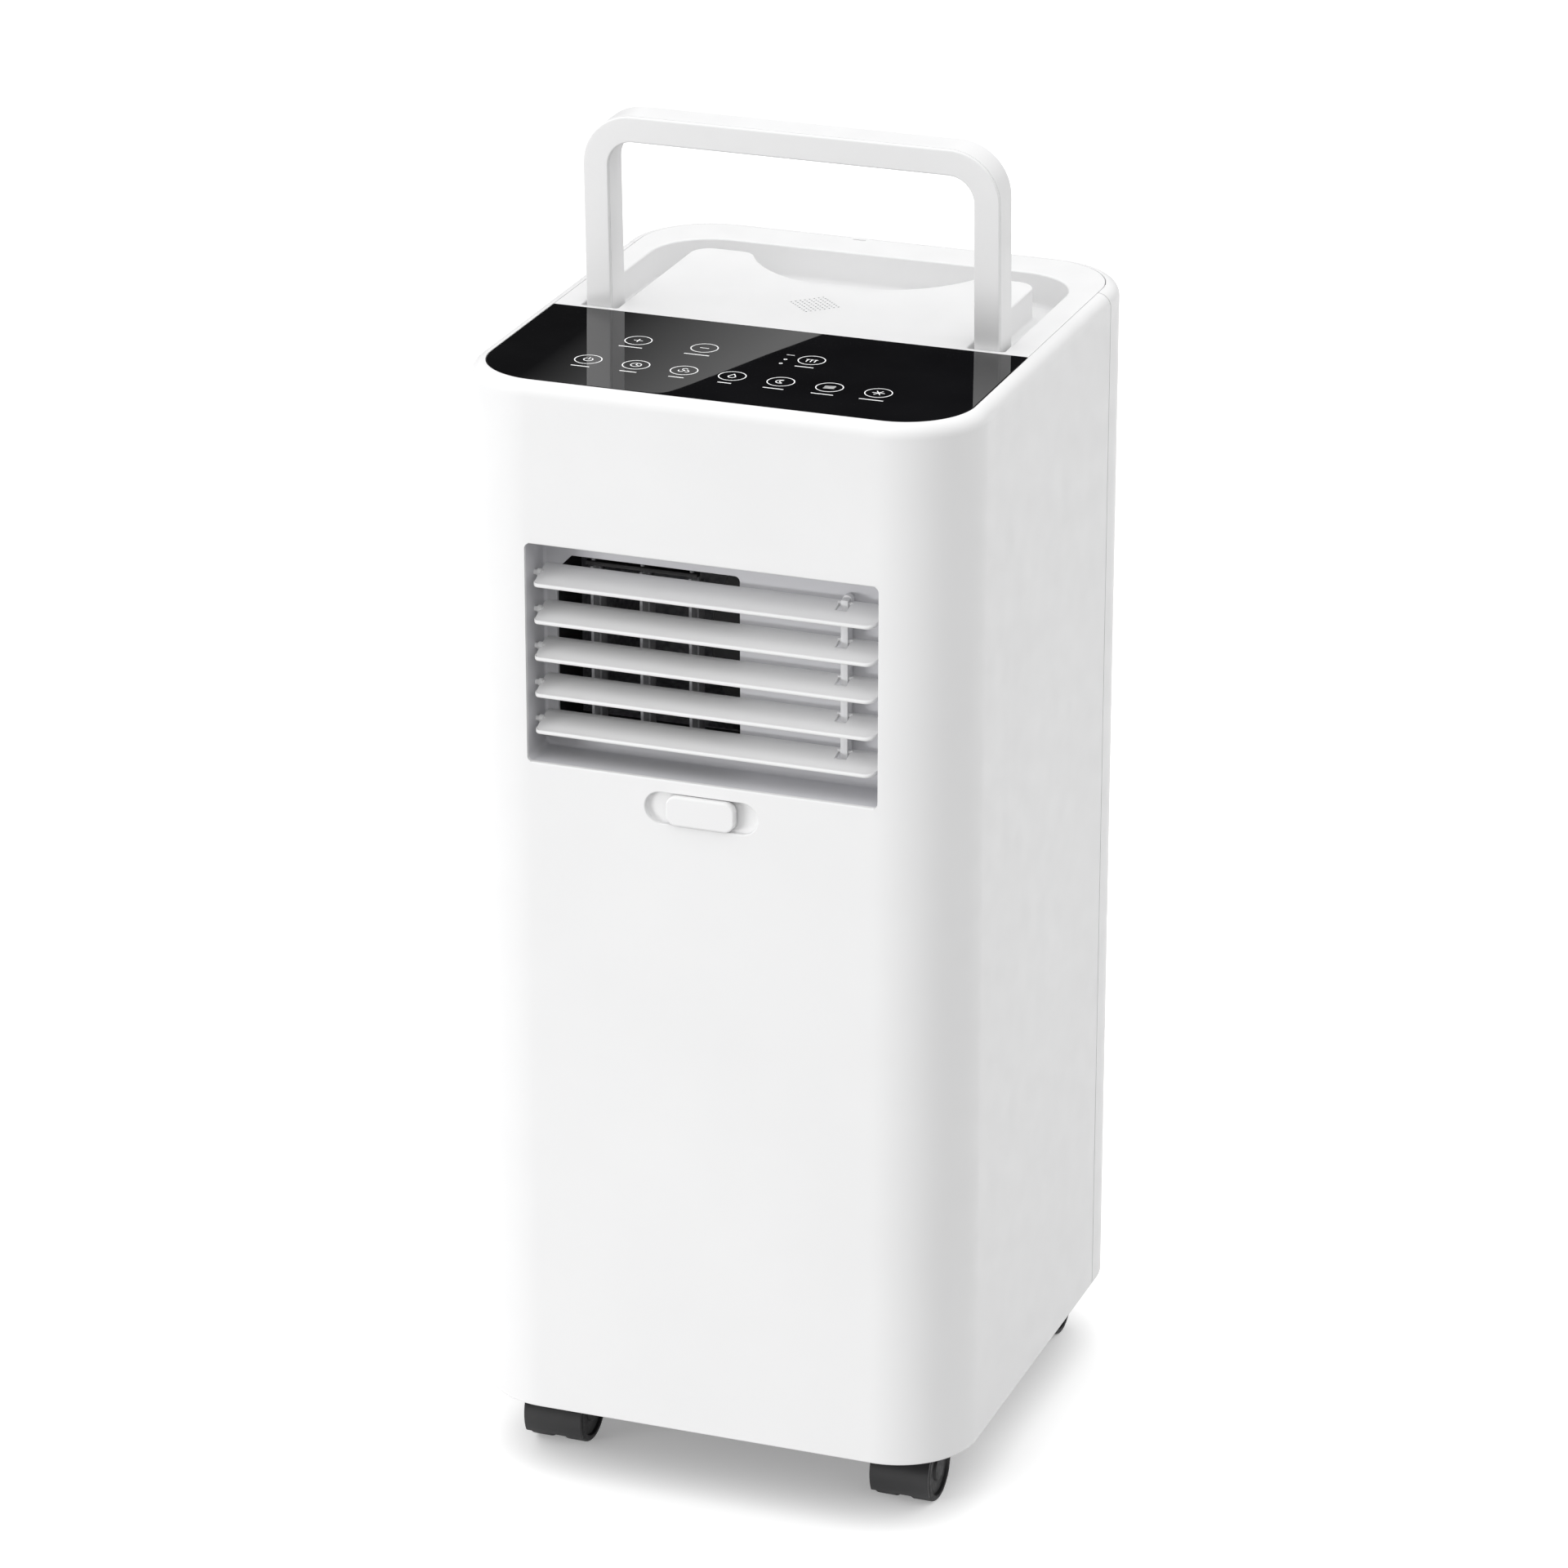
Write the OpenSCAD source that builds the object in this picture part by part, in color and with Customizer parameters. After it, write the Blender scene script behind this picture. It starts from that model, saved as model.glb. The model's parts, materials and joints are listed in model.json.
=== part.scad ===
// Portable air conditioner: a tall rounded casing on four casters, with a fold-down carrying
// handle, a glass touch panel, a louvred air outlet, and the refrigeration parts inside.
// Origin: on the floor under the middle of the object. X runs to the right as seen from the
// front, Y runs from the front to the rear, and Z is up.

/* [Casing] */
// Width of the casing
body_w = 300; // [290:1:320]
// Depth of the casing
body_d = 326; // [320:1:340]
// Height of the casing, from its bottom edge to the deck
body_h = 627; // [620:1:640]
// Clearance between the floor and the bottom edge of the casing
ground_gap = 45; // [44:1:50]
// Radius of the two front upright corners
front_r = 48; // [40:1:50]
// Radius of the two rear upright corners
rear_r = 52; // [46:1:54]
// Radius of the rounded rim round the top
rim_r = 8; // [7:0.5:9]
// Thickness of the casing walls
wall = 2.6; // [2.2:0.1:3]
// Distance from the front face to the seam of the rear cover
seam_from_front = 265; // [260:1:268]

/* [Glass and deck] */
// Distance from the front face to the rear edge of the glass
glass_depth = 139.5; // [136:0.5:140]
// Thickness of the glass
glass_t = 3.5; // [3:0.1:4]
// Fine gap round the inset deck and the glass
seam_gap = 0.4; // [0.3:0.1:0.6]
// Distance between neighbouring touch keys
key_pitch = 28.4; // [26:0.2:30]

/* [Handle] */
// Width of the handle over both legs
handle_w = 247; // [240:1:248]
// Width of a leg, seen from the front
leg_w = 15; // [13:0.5:16]
// Depth of a leg, from front to rear
leg_d = 22; // [20:0.5:22]
// Distance from the hinge pin to the top of the handle
handle_len = 127; // [120:1:127]
// Forward lean of the raised handle, in degrees
handle_lean = 2; // [0:0.5:3]
// Depth of the channel that the folded handle lies in
channel_depth = 19.5; // [19.5:0.5:22]
// Radius of the hinge pins
hinge_pin_r = 3; // [2.5:0.5:3.5]

/* [Air outlet] */
// Width of the outlet opening
vent_w = 208; // [204:1:212]
// Height of the outlet opening
vent_h = 129.6; // [128:0.4:132]
// Height of the middle of the outlet above the bottom edge of the casing
vent_mid_h = 469.2; // [464:0.2:474]
// Depth of the outlet recess behind the front face
vent_depth = 30; // [30:0.5:31]
// Number of louvers
louver_n = 5; // [5:1:5]
// Distance between neighbouring louvers
louver_pitch = 21.8; // [21.4:0.1:22]
// Depth of a louver blade from its front edge to its rear edge
louver_chord = 23; // [21:0.5:23]
// Tilt of the louvers, front edge down, in degrees
louver_tilt = 17; // [15:1:19]
// Distance between neighbouring guide vanes
vane_pitch = 29.3; // [29:0.1:30]
// Depth of a guide vane
vane_chord = 20; // [18:0.5:20]

/* [Guide vane slider] */
// Width of the slider track
track_w = 67; // [66:0.5:68]
// Height of the slider track
track_h = 18.7; // [18.5:0.1:19]
// Width of the slider knob
knob_w = 41; // [40:0.5:42]
// How far the knob stands out of the front face
knob_proud = 2.5; // [2:0.5:3]
// Height of the middle of the track above the bottom edge of the casing
track_mid_h = 387.3; // [386:0.1:388]

/* [Casters] */
// Radius of a caster wheel
wheel_r = 20; // [19:0.5:20]
// Width over the two wheels of a caster
caster_w = 37; // [34:0.5:38]
// Distance from the middle of the casing to a caster stem, sideways
caster_x = 108; // [104:0.5:110]
// Distance from the middle of the casing to a caster stem, front or rear
caster_y = 115; // [112:0.5:116]
// Distance that a wheel axle trails behind its stem
caster_trail = 6; // [4:0.5:7]

/* [Rear] */
// Radius of the bore of the exhaust outlet
exhaust_r = 65; // [62:0.5:66]
// Sideways place of the exhaust outlet
exhaust_x = 28; // [26:0.5:28]
// Height of the exhaust outlet above the floor
exhaust_z = 330; // [329:0.5:331]
// Depth of the seat for the hose fitting, from the casing to the shoulder inside
exhaust_seat = 12; // [10:0.5:14]
// Width of the intake windows
grille_w = 184; // [180:1:186]

/* [Hidden] */
$fn = 96;

eps = 0.02;
white = [0.93, 0.93, 0.93];
front_y = -body_d / 2;
rear_y = body_d / 2;
deck_z = ground_gap + body_h;
seam_y = front_y + seam_from_front;
front_corner = [body_w / 2 - front_r, front_y + front_r];
rear_corner = [body_w / 2 - rear_r, rear_y - rear_r];

// Deck levels: the inset plate is thick, and a thin ledge below it reaches under the rim
deck_inset = rim_r + seam_gap;
ledge_inset = 4.6;
ledge_top = 4.3;
ledge_bottom = 6.5;
glass_rear_y = front_y + glass_depth;

// Handle hinge axis, measured from the rear half of the leg
pin_to_leg_rear = 6;
pin_to_leg_front = leg_d - pin_to_leg_rear;
hinge_y = -2.5;
hinge_z = deck_z - 12.5;
handle_outer_r = 30;
handle_inner_r = handle_outer_r - leg_w;
leg_x = handle_w / 2 - leg_w / 2;
cover_t = 2;
handle_seam = 0.5;
pin_len = 26.4;
pin_bore = 32;

// Clearance between a pin and its bore
running = 0.08;

// Channel in the deck for the folded handle
channel_x = 126.5;
channel_front_y = -19.5;
channel_rear_y = 126;
channel_r = 36;
basin_wall = 2.2;
platform_x = 104.5;
platform_rear_y = 107.5;
platform_r = 12;
scallop_r = 75.6;
scallop_y = 136.6;
scallop_lip_r = 10;

// Square sensor grille in the platform, turned by 45 degrees
sensor_x = -2;
sensor_y = 26;
sensor_t = 2;
sensor_half = 11;
sensor_seat = sensor_half + 0.05;
sensor_hole = 9;

// Slot of a catch in the strip of deck behind the channel
catch_x = -20;
catch_y = 151.5;
catch_w = 8;
catch_d = 1.6;
catch_depth = 1.5;

// Window in the ledge under the touch keys, measured from the front face
spring_window_x = 101;
spring_window_y0 = 30;
spring_window_y1 = 108;

// Outlet
vent_z = ground_gap + vent_mid_h;
vent_bottom = vent_z - vent_h / 2;
vent_top = vent_z + vent_h / 2;
vent_back_y = front_y + vent_depth;
frame_wall = 2.5;
frame_gap = 0.6;
duct_x0 = -97;
duct_x1 = 12;
duct_z0 = vent_bottom + 7;
duct_z1 = vent_bottom + 114;
duct_wall = 2;
duct_rear_y = -96;

// Louvers turn on pins between their front and rear edges
louver_front = 13;
louver_rear = louver_chord - louver_front;
louver_axis_y = front_y + 16;
louver_axis_z1 = vent_bottom + 107.4;
louver_half = 101;
louver_t = 2;
louver_pin_r = 1.5;
tie_x = 77;
tie_w = 4;
tie_arm = 7;
tie_front = 2.4;
tie_back = 6.2;
tie_pin_r = 1.1;
tie_tail = 7.5;

// Guide vanes
vane_y = front_y + 42;
vane_x0 = -76.6;
vane_z0 = duct_z0 + 2.5;
vane_z1 = duct_z1 - 5.5;
vane_t = 1.6;
vane_pin_r = 1.5;
link_arm = 7;
lever_arm = 20;
lever_z = vent_bottom - 7.5;
lever_t = 3;
lever_pin_r = 2;

// Slider
track_z = ground_gap + track_mid_h;
track_floor = 4;
knob_h = track_h - 0.7;
knob_end_r = 12;
stem_half = 5;
knob_travel = 10;
fork_slack = 0.4;

// Casters
axle_z = wheel_r;
axle_r = 2.5;
stem_r = 5;
hood_r = wheel_r + 2.2;
hood_gap = 0.7;
web_w = 8;
stem_top = 68;
tray_z = ground_gap + 2;
tray_floor = 4;
tray_h = 22;

// Fans
evap_x = 52;
evap_z = 508;
cond_x = -68;
cond_z = 318;
partition_z = 404;
partition_t = 2.5;
pan_half = 112;
grille_upper_z = 528;
grille_upper_h = 200;
grille_lower_z = 171;
grille_lower_h = 152;

// A bar of a 2D outline: the outline's X and Y become X and Z, and it runs along +Y
module along_y(y0, y1) {
    translate([0, y1, 0]) rotate([90, 0, 0]) linear_extrude(y1 - y0) children();
}

// A bar of a 2D outline: the outline's X and Y become Y and Z, and it runs along +X
module along_x(x0, x1) {
    translate([x0, 0, 0]) rotate([90, 0, 90]) linear_extrude(x1 - x0) children();
}

// A round bar along Y or X between two places
module rod_y(x, z, y0, y1, r) {
    translate([x, y0, z]) rotate([-90, 0, 0]) cylinder(h = y1 - y0, r = r);
}

module rod_x(y, z, x0, x1, r) {
    translate([x0, y, z]) rotate([0, 90, 0]) cylinder(h = x1 - x0, r = r);
}

module box(x0, x1, y0, y1, z0, z1) {
    translate([x0, y0, z0]) cube([x1 - x0, y1 - y0, z1 - z0]);
}

// A rectangle with round corners, centred
module round_rect(w, h, r) {
    square([w - 2 * r, h], center = true);
    square([w, h - 2 * r], center = true);
    for (sx = [-1, 1], sy = [-1, 1]) {
        translate([sx * (w / 2 - r), sy * (h / 2 - r)]) circle(r = r);
    }
}

// The outline of the casing seen from above, moved in by an inset
module plan(inset) {
    wide = body_w / 2 - inset;
    translate([-front_corner[0], front_y + inset]) square([2 * front_corner[0], front_r]);
    translate([-rear_corner[0], rear_corner[1]]) square([2 * rear_corner[0], rear_r - inset]);
    translate([-wide, front_corner[1]]) square([2 * wide, rear_corner[1] - front_corner[1]]);
    for (side = [-1, 1]) {
        translate([side * front_corner[0], front_corner[1]]) circle(r = front_r - inset);
        translate([side * rear_corner[0], rear_corner[1]]) circle(r = rear_r - inset);
    }
}

// Section of the casing wall: X is inwards from the outer face, Y is up from the bottom edge
module wall_section() {
    square([wall, body_h - rim_r]);
    translate([rim_r, body_h - rim_r]) intersection() {
        difference() {
            circle(r = rim_r);
            circle(r = rim_r - wall);
        }
        translate([-rim_r, 0]) square(rim_r);
    }
}

module wall_side(side, y0, y1) {
    mirror([side > 0 ? 1 : 0, 0, 0]) translate([-body_w / 2, y1, ground_gap])
        rotate([90, 0, 0]) linear_extrude(y1 - y0) wall_section();
}

module wall_corner(centre, r, turn) {
    translate([centre[0], centre[1], ground_gap]) rotate([0, 0, turn])
        rotate_extrude(angle = 90) translate([r, 0]) mirror([1, 0]) wall_section();
}

module slider_window(inset) {
    end_r = track_h / 2 - inset;
    translate([0, track_z]) {
        square([track_w - track_h, 2 * end_r], center = true);
        for (side = [-1, 1]) {
            translate([side * (track_w - track_h) / 2, 0]) circle(r = end_r);
        }
    }
}

module vent_window(inset) {
    translate([0, vent_z]) round_rect(vent_w - 2 * inset, vent_h - 2 * inset, 3);
}

module front_shell() {
    color(white) difference() {
        union() {
            translate([-front_corner[0], front_y, ground_gap]) rotate([90, 0, 90])
                linear_extrude(2 * front_corner[0]) wall_section();
            wall_corner([-front_corner[0], front_corner[1]], front_r, 180);
            wall_corner(front_corner, front_r, 270);
            wall_side(-1, front_corner[1], seam_y);
            wall_side(1, front_corner[1], seam_y);
        }
        along_y(front_y - 1, front_y + wall + 1) vent_window(0);
        along_y(front_y - 1, front_y + wall + 1) slider_window(0);
    }
}

// The rear cover carries a tongue that runs behind the edge of the front shell
module rear_cover() {
    tongue = 1.5;
    tongue_z = tray_z + tray_h + 1;
    color(white) difference() {
        union() {
            translate([-rear_corner[0], rear_y, ground_gap]) mirror([0, 1, 0])
                rotate([90, 0, 90]) linear_extrude(2 * rear_corner[0]) wall_section();
            wall_corner(rear_corner, rear_r, 0);
            wall_corner([-rear_corner[0], rear_corner[1]], rear_r, 90);
            for (side = [-1, 1]) {
                wall_side(side, seam_y + 0.5, rear_corner[1]);
                mirror([side > 0 ? 1 : 0, 0, 0]) {
                    box(-body_w / 2 + wall + 0.2, -body_w / 2 + wall + 0.2 + tongue,
                        seam_y - 6, seam_y + 5, tongue_z, deck_z - 12);
                    box(-body_w / 2 + 1, -body_w / 2 + wall + 0.2 + tongue,
                        seam_y + 1.5, seam_y + 5, tongue_z, deck_z - 12);
                }
            }
        }
        along_y(rear_y - 9, rear_y + 1) {
            translate([0, grille_upper_z]) round_rect(grille_w, grille_upper_h, 6);
            translate([0, grille_lower_z]) round_rect(grille_w, grille_lower_h, 6);
        }
        rod_y(exhaust_x, exhaust_z, rear_y - 9, rear_y + 1, exhaust_r + 6.3);
        for (p = drain_places) {
            rod_y(p[0], p[1], rear_y - 9, rear_y + 1, 8);
        }
        rod_y(gland_x, gland_z, rear_y - 9, rear_y + 1, 9);
        for (p = screw_places) {
            rod_y(p[0], p[1], rear_y - 9, rear_y + 1, 2.2);
        }
    }
}

drain_r = 5;
drain_places = [[-84, 413], [-80, 60]];
gland_x = 84;
gland_z = 81;
screw_places = [for (x = [-100, 100], z = [120, 300, 460, 640]) [x, z]];

module channel_outline(grow) {
    difference() {
        union() {
            translate([-channel_x - grow, channel_front_y - grow])
                square([2 * (channel_x + grow), channel_rear_y - channel_r - channel_front_y + grow]);
            translate([-channel_x + channel_r, channel_rear_y - channel_r])
                square([2 * (channel_x - channel_r), channel_r + grow]);
            for (side = [-1, 1]) {
                translate([side * (channel_x - channel_r), channel_rear_y - channel_r])
                    circle(r = channel_r + grow);
            }
        }
        difference() {
            union() {
                translate([-platform_x + grow, channel_front_y - 2 * basin_wall])
                    square([2 * (platform_x - grow),
                            platform_rear_y - platform_r - channel_front_y + 2 * basin_wall]);
                translate([-platform_x + platform_r, channel_front_y])
                    square([2 * (platform_x - platform_r), platform_rear_y - channel_front_y - grow]);
                for (side = [-1, 1]) {
                    translate([side * (platform_x - platform_r), platform_rear_y - platform_r])
                        circle(r = platform_r - grow);
                }
            }
            translate([0, scallop_y]) circle(r = scallop_r + grow);
            for (side = [-1, 1]) {
                scallop_lip(side, grow);
            }
        }
    }
}

// Sharp tip between the platform's rear edge and the scallop, less the round that replaces it
module scallop_lip(side, grow) {
    rise = scallop_y - platform_rear_y;
    round_y = platform_rear_y - scallop_lip_r;
    reach = scallop_r + scallop_lip_r;
    round_x = sqrt(pow(reach, 2) - pow(scallop_y - round_y, 2));
    along = scallop_r / reach;
    difference() {
        polygon([[side * round_x, platform_rear_y + 1],
                 [side * (sqrt(pow(scallop_r, 2) - pow(rise, 2)) - 4), platform_rear_y + 1],
                 [side * round_x * along, scallop_y - (scallop_y - round_y) * along],
                 [side * round_x, round_y]]);
        translate([side * round_x, round_y]) circle(r = scallop_lip_r - grow);
    }
}

module top_deck() {
    color(white) difference() {
        union() {
            translate([0, 0, deck_z - ledge_bottom])
                linear_extrude(ledge_bottom - ledge_top) plan(ledge_inset);
            translate([0, 0, deck_z - ledge_top - eps])
                linear_extrude(ledge_top - glass_t + 2 * eps) plan(deck_inset);
            intersection() {
                translate([0, 0, deck_z - glass_t]) linear_extrude(glass_t) plan(deck_inset);
                box(-body_w, body_w, glass_rear_y + seam_gap, body_d, 0, deck_z + 1);
            }
            translate([0, 0, deck_z - channel_depth - basin_wall])
                linear_extrude(channel_depth + basin_wall) channel_outline(basin_wall);
        }
        translate([0, 0, deck_z - channel_depth]) linear_extrude(channel_depth + 1)
            channel_outline(0);
        // window for the touch springs under the glass
        box(-spring_window_x, spring_window_x, front_y + spring_window_y0,
            front_y + spring_window_y1, deck_z - ledge_bottom - 1, deck_z + 1);
        // slot of the catch behind the channel
        box(catch_x - catch_w / 2, catch_x + catch_w / 2, catch_y - catch_d / 2,
            catch_y + catch_d / 2, deck_z - catch_depth, deck_z + 1);
        // seat of the sensor grille
        translate([sensor_x, sensor_y, deck_z - sensor_t]) rotate([0, 0, 45])
            box(-sensor_seat, sensor_seat, -sensor_seat, sensor_seat, 0, sensor_t + 1);
        translate([sensor_x, sensor_y, deck_z - ledge_bottom - 1]) rotate([0, 0, 45])
            box(-sensor_hole, sensor_hole, -sensor_hole, sensor_hole, 0, ledge_bottom + 2);
        // bores that hold the hinge pins
        for (side = [-1, 1]) {
            rod_x(hinge_y, hinge_z, side * leg_x - pin_bore / 2, side * leg_x + pin_bore / 2,
                  hinge_pin_r + eps);
        }
    }
}

module glass_panel() {
    color([0.03, 0.03, 0.035]) intersection() {
        translate([0, 0, deck_z - glass_t + eps]) linear_extrude(glass_t - eps) plan(deck_inset);
        box(-body_w, body_w, front_y, glass_rear_y, 0, deck_z + 1);
    }
}

// Seven keys in the front row and three behind them
front_keys_y = front_y + 51.5;
back_keys_y = front_y + 92.5;
key_places = concat([for (i = [-3:3]) [i * key_pitch, front_keys_y]],
                    [for (x = [-71.5, -32, 31.5]) [x, back_keys_y]]);
board_z = deck_z - 12;
board_t = 1.6;

module touch_board() {
    half_w = 106;
    y0 = front_y + 24;
    y1 = front_y + 114;
    stud_inset = 2.5;
    stud_y_inset = 3;
    color("seagreen") union() {
        box(-half_w, half_w, y0, y1, board_z, board_z + board_t);
        // two chips on its underside
        box(-60, -30, front_y + 60, front_y + 80, board_z - 3, board_z);
        box(20, 45, front_y + 66, front_y + 84, board_z - 4, board_z);
        for (side = [-1, 1], y = [y0 + stud_y_inset, y1 - stud_y_inset]) {
            translate([side * (half_w - stud_inset), y, board_z + board_t])
                cylinder(h = deck_z - ledge_bottom - board_z - board_t, r = 2.2);
        }
    }
}

module touch_springs() {
    spring_r = 5;
    wire = 1;
    color("gold") for (p = key_places) {
        translate([p[0], p[1], board_z + board_t]) difference() {
            cylinder(h = deck_z - glass_t - board_z - board_t, r = spring_r);
            translate([0, 0, -1]) cylinder(h = 20, r = spring_r - wire);
        }
    }
}

module sensor_grille() {
    color([0.86, 0.89, 0.92]) translate([sensor_x, sensor_y, deck_z - sensor_t])
        rotate([0, 0, 45]) difference() {
            box(-sensor_half, sensor_half, -sensor_half, sensor_half, 0, sensor_t);
            for (i = [-2:2], j = [-2:2]) {
                translate([i * 4, j * 4, -1]) cylinder(h = sensor_t + 2, r = 1.1, $fn = 8);
            }
        }
}

// The handle outline seen from the front, with the hinge axis at the origin's height
module handle_outline(grow) {
    half = handle_w / 2 + grow;
    outer_r = handle_outer_r + grow;
    inner_r = handle_inner_r - grow;
    inner = handle_w / 2 - leg_w - grow;
    top = handle_len + grow;
    difference() {
        union() {
            translate([-half, 0]) square([2 * half, top - outer_r]);
            translate([-half + outer_r, top - outer_r - eps])
                square([2 * (half - outer_r), outer_r + eps]);
            for (side = [-1, 1]) {
                translate([side * (half - outer_r), top - outer_r]) circle(r = outer_r);
            }
        }
        translate([-inner, -1]) square([2 * inner, handle_len - leg_w - grow - inner_r + 1]);
        translate([-inner + inner_r, 0])
            square([2 * (inner - inner_r), handle_len - leg_w - grow]);
        for (side = [-1, 1]) {
            translate([side * (inner - inner_r), handle_len - leg_w - grow - inner_r])
                circle(r = inner_r);
        }
    }
}

// Side view of the round foot below the hinge axis
module foot_outline() {
    low = 0.95 * pin_to_leg_rear;
    intersection() {
        circle(r = pin_to_leg_rear);
        translate([-leg_d, -leg_d]) square([2 * leg_d, leg_d]);
    }
    polygon([[0, 0], [-pin_to_leg_front, 0], [0, -low]]);
}

module place_handle() {
    translate([0, hinge_y, hinge_z]) rotate([handle_lean, 0, 0]) children();
}

module handle_cover() {
    color(white) place_handle()
        along_y(-pin_to_leg_front, -pin_to_leg_front + cover_t) handle_outline(0);
}

module handle_body() {
    seam_at = -pin_to_leg_front + cover_t;
    color(white) place_handle() difference() {
        union() {
            along_y(seam_at + handle_seam, pin_to_leg_rear) handle_outline(0);
            along_y(seam_at, seam_at + handle_seam + eps) handle_outline(-0.5);
            for (side = [-1, 1]) {
                along_x(side * leg_x - leg_w / 2, side * leg_x + leg_w / 2) foot_outline();
            }
        }
        for (side = [-1, 1]) {
            rod_x(0, 0, side * leg_x - leg_w, side * leg_x + leg_w, hinge_pin_r + running);
        }
    }
}

module hinge_pins() {
    color("silver") for (side = [-1, 1]) {
        rod_x(hinge_y, hinge_z, side * leg_x - pin_len / 2, side * leg_x + pin_len / 2, hinge_pin_r);
    }
}

module vent_frame() {
    half = vent_w / 2 + frame_gap;
    color([0.85, 0.85, 0.86]) difference() {
        intersection() {
            box(-half - frame_wall, half + frame_wall, front_y + wall, vent_back_y + frame_wall,
                vent_bottom - frame_wall, vent_top + frame_wall);
            linear_extrude(deck_z) plan(wall);
        }
        box(-half, half, front_y, vent_back_y, vent_bottom, vent_top);
        along_y(vent_back_y - 1, vent_back_y + frame_wall + 1) duct_window();
        for (i = [0:louver_n - 1], side = [-1, 1]) {
            rod_x(louver_axis_y, louver_axis_z1 - i * louver_pitch, side * half - 5, side * half + 5,
                  louver_pin_r + running);
        }
    }
}

// Window between the recess and the duct, with its upper corners cut off
module duct_window() {
    left_cut = 9;
    right_cut = 3;
    polygon([[duct_x0, duct_z0], [duct_x1, duct_z0], [duct_x1, duct_z1 - right_cut],
             [duct_x1 - right_cut, duct_z1], [duct_x0 + left_cut, duct_z1],
             [duct_x0, duct_z1 - left_cut]]);
}

// Blade section: X is towards the rear along the blade, Y is its upper side, the pin at 0, 0
module blade_section() {
    nose_r = louver_t / 2 + 0.3;
    crown_r = 70;
    translate([-louver_front + nose_r, 0]) circle(r = nose_r, $fn = 48);
    intersection() {
        translate([-louver_front + nose_r, -4]) square([louver_chord - nose_r, 8]);
        difference() {
            translate([0, louver_t / 2 - crown_r]) circle(r = crown_r, $fn = 200);
            translate([0, -louver_t / 2 - crown_r]) circle(r = crown_r, $fn = 200);
        }
    }
}

// Blade seen from above: the front corners are rounded, the right one more
module blade_plan() {
    left_r = 3;
    right_r = 7;
    square_from = -louver_front + right_r;
    translate([-louver_half, square_from]) square([2 * louver_half, louver_chord - right_r]);
    translate([-louver_half, -louver_front + left_r]) square([louver_half, louver_chord - left_r]);
    translate([-louver_half + left_r, -louver_front - 1])
        square([2 * louver_half - left_r - right_r, louver_chord]);
    translate([-louver_half + left_r, -louver_front + left_r]) circle(r = left_r);
    translate([louver_half - right_r, -louver_front + right_r]) circle(r = right_r);
}

module louver(i) {
    notch_w = tie_w + 3;
    color(white) translate([0, louver_axis_y, louver_axis_z1 - (i - 1) * louver_pitch])
        rotate([louver_tilt, 0, 0]) {
            difference() {
                intersection() {
                    along_x(-louver_half, louver_half) blade_section();
                    translate([0, 0, -10]) linear_extrude(20) blade_plan();
                }
                box(tie_x - notch_w / 2, tie_x + notch_w / 2, tie_arm - tie_tail, louver_rear + 1, -5, 5);
            }
            rod_x(tie_arm, 0, tie_x - notch_w / 2 - 1, tie_x + notch_w / 2 + 1, tie_pin_r);
            for (side = [-1, 1]) {
                rod_x(0, 0, side * (louver_half + 2) - 4, side * (louver_half + 2) + 4, louver_pin_r);
            }
        }
}

module louver_tie_bar() {
    y0 = louver_axis_y + tie_arm * cos(louver_tilt);
    z1 = louver_axis_z1 + tie_arm * sin(louver_tilt);
    z_low = z1 - (louver_n - 1) * louver_pitch - 4;
    color(white) difference() {
        union() {
            box(tie_x - tie_w / 2, tie_x + tie_w / 2, y0 - tie_front, y0 + tie_back, z_low, z1 + 2.4);
            rod_y(tie_x, z1 + 1, y0 + 2.4, y0 + tie_back, 2.9);
        }
        for (i = [0:louver_n - 1]) {
            rod_x(y0, z1 - i * louver_pitch, tie_x - tie_w, tie_x + tie_w, tie_pin_r + running);
        }
    }
}

module outlet_duct() {
    low = duct_z0 - duct_wall;
    high = duct_z1 + duct_wall;
    front = vent_back_y + frame_wall;
    color([0.25, 0.25, 0.27]) difference() {
        box(duct_x0 - duct_wall, duct_x1 + duct_wall, front, duct_rear_y, low, high);
        box(duct_x0, duct_x1, front - 1, duct_rear_y + 1, duct_z0, duct_z1);
        for (i = [0:2], z = [low, high]) {
            translate([vane_x0 + i * vane_pitch, vane_y, z - 5])
                cylinder(h = 10, r = vane_pin_r + running);
        }
    }
}

// A guide vane, with a pin at each end and a hooked lug at the top for the link
module vane(i) {
    link_z = vane_z1 - 3;
    color([0.9, 0.9, 0.9]) translate([vane_x0 + (i - 1) * vane_pitch, vane_y, 0]) union() {
        box(-vane_t / 2, vane_t / 2, -vane_chord / 2, vane_chord / 2, vane_z0, vane_z1 - 7);
        box(-vane_t / 2, vane_t / 2, -vane_chord / 2, vane_chord / 2 - 6, vane_z1 - 8, vane_z1);
        translate([0, 0, (i == 2 ? lever_z : duct_z0 - duct_wall)])
            cylinder(h = vane_z1 - (i == 2 ? lever_z : duct_z0 - duct_wall) + 5.5 + duct_wall,
                     r = vane_pin_r);
        translate([0, -link_arm, vane_z1 - 1]) cylinder(h = 5, r = 1.2);
        if (i == 2) {
            translate([0, 0, lever_z]) {
                translate([0, -lever_arm, 0]) cylinder(h = lever_t, r = 3.5);
                box(-2.5, 2.5, -lever_arm, 0, 0, lever_t);
                cylinder(h = lever_t, r = 3.5);
                translate([0, -lever_arm, -5]) cylinder(h = 6, r = lever_pin_r);
            }
        }
    }
}

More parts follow.
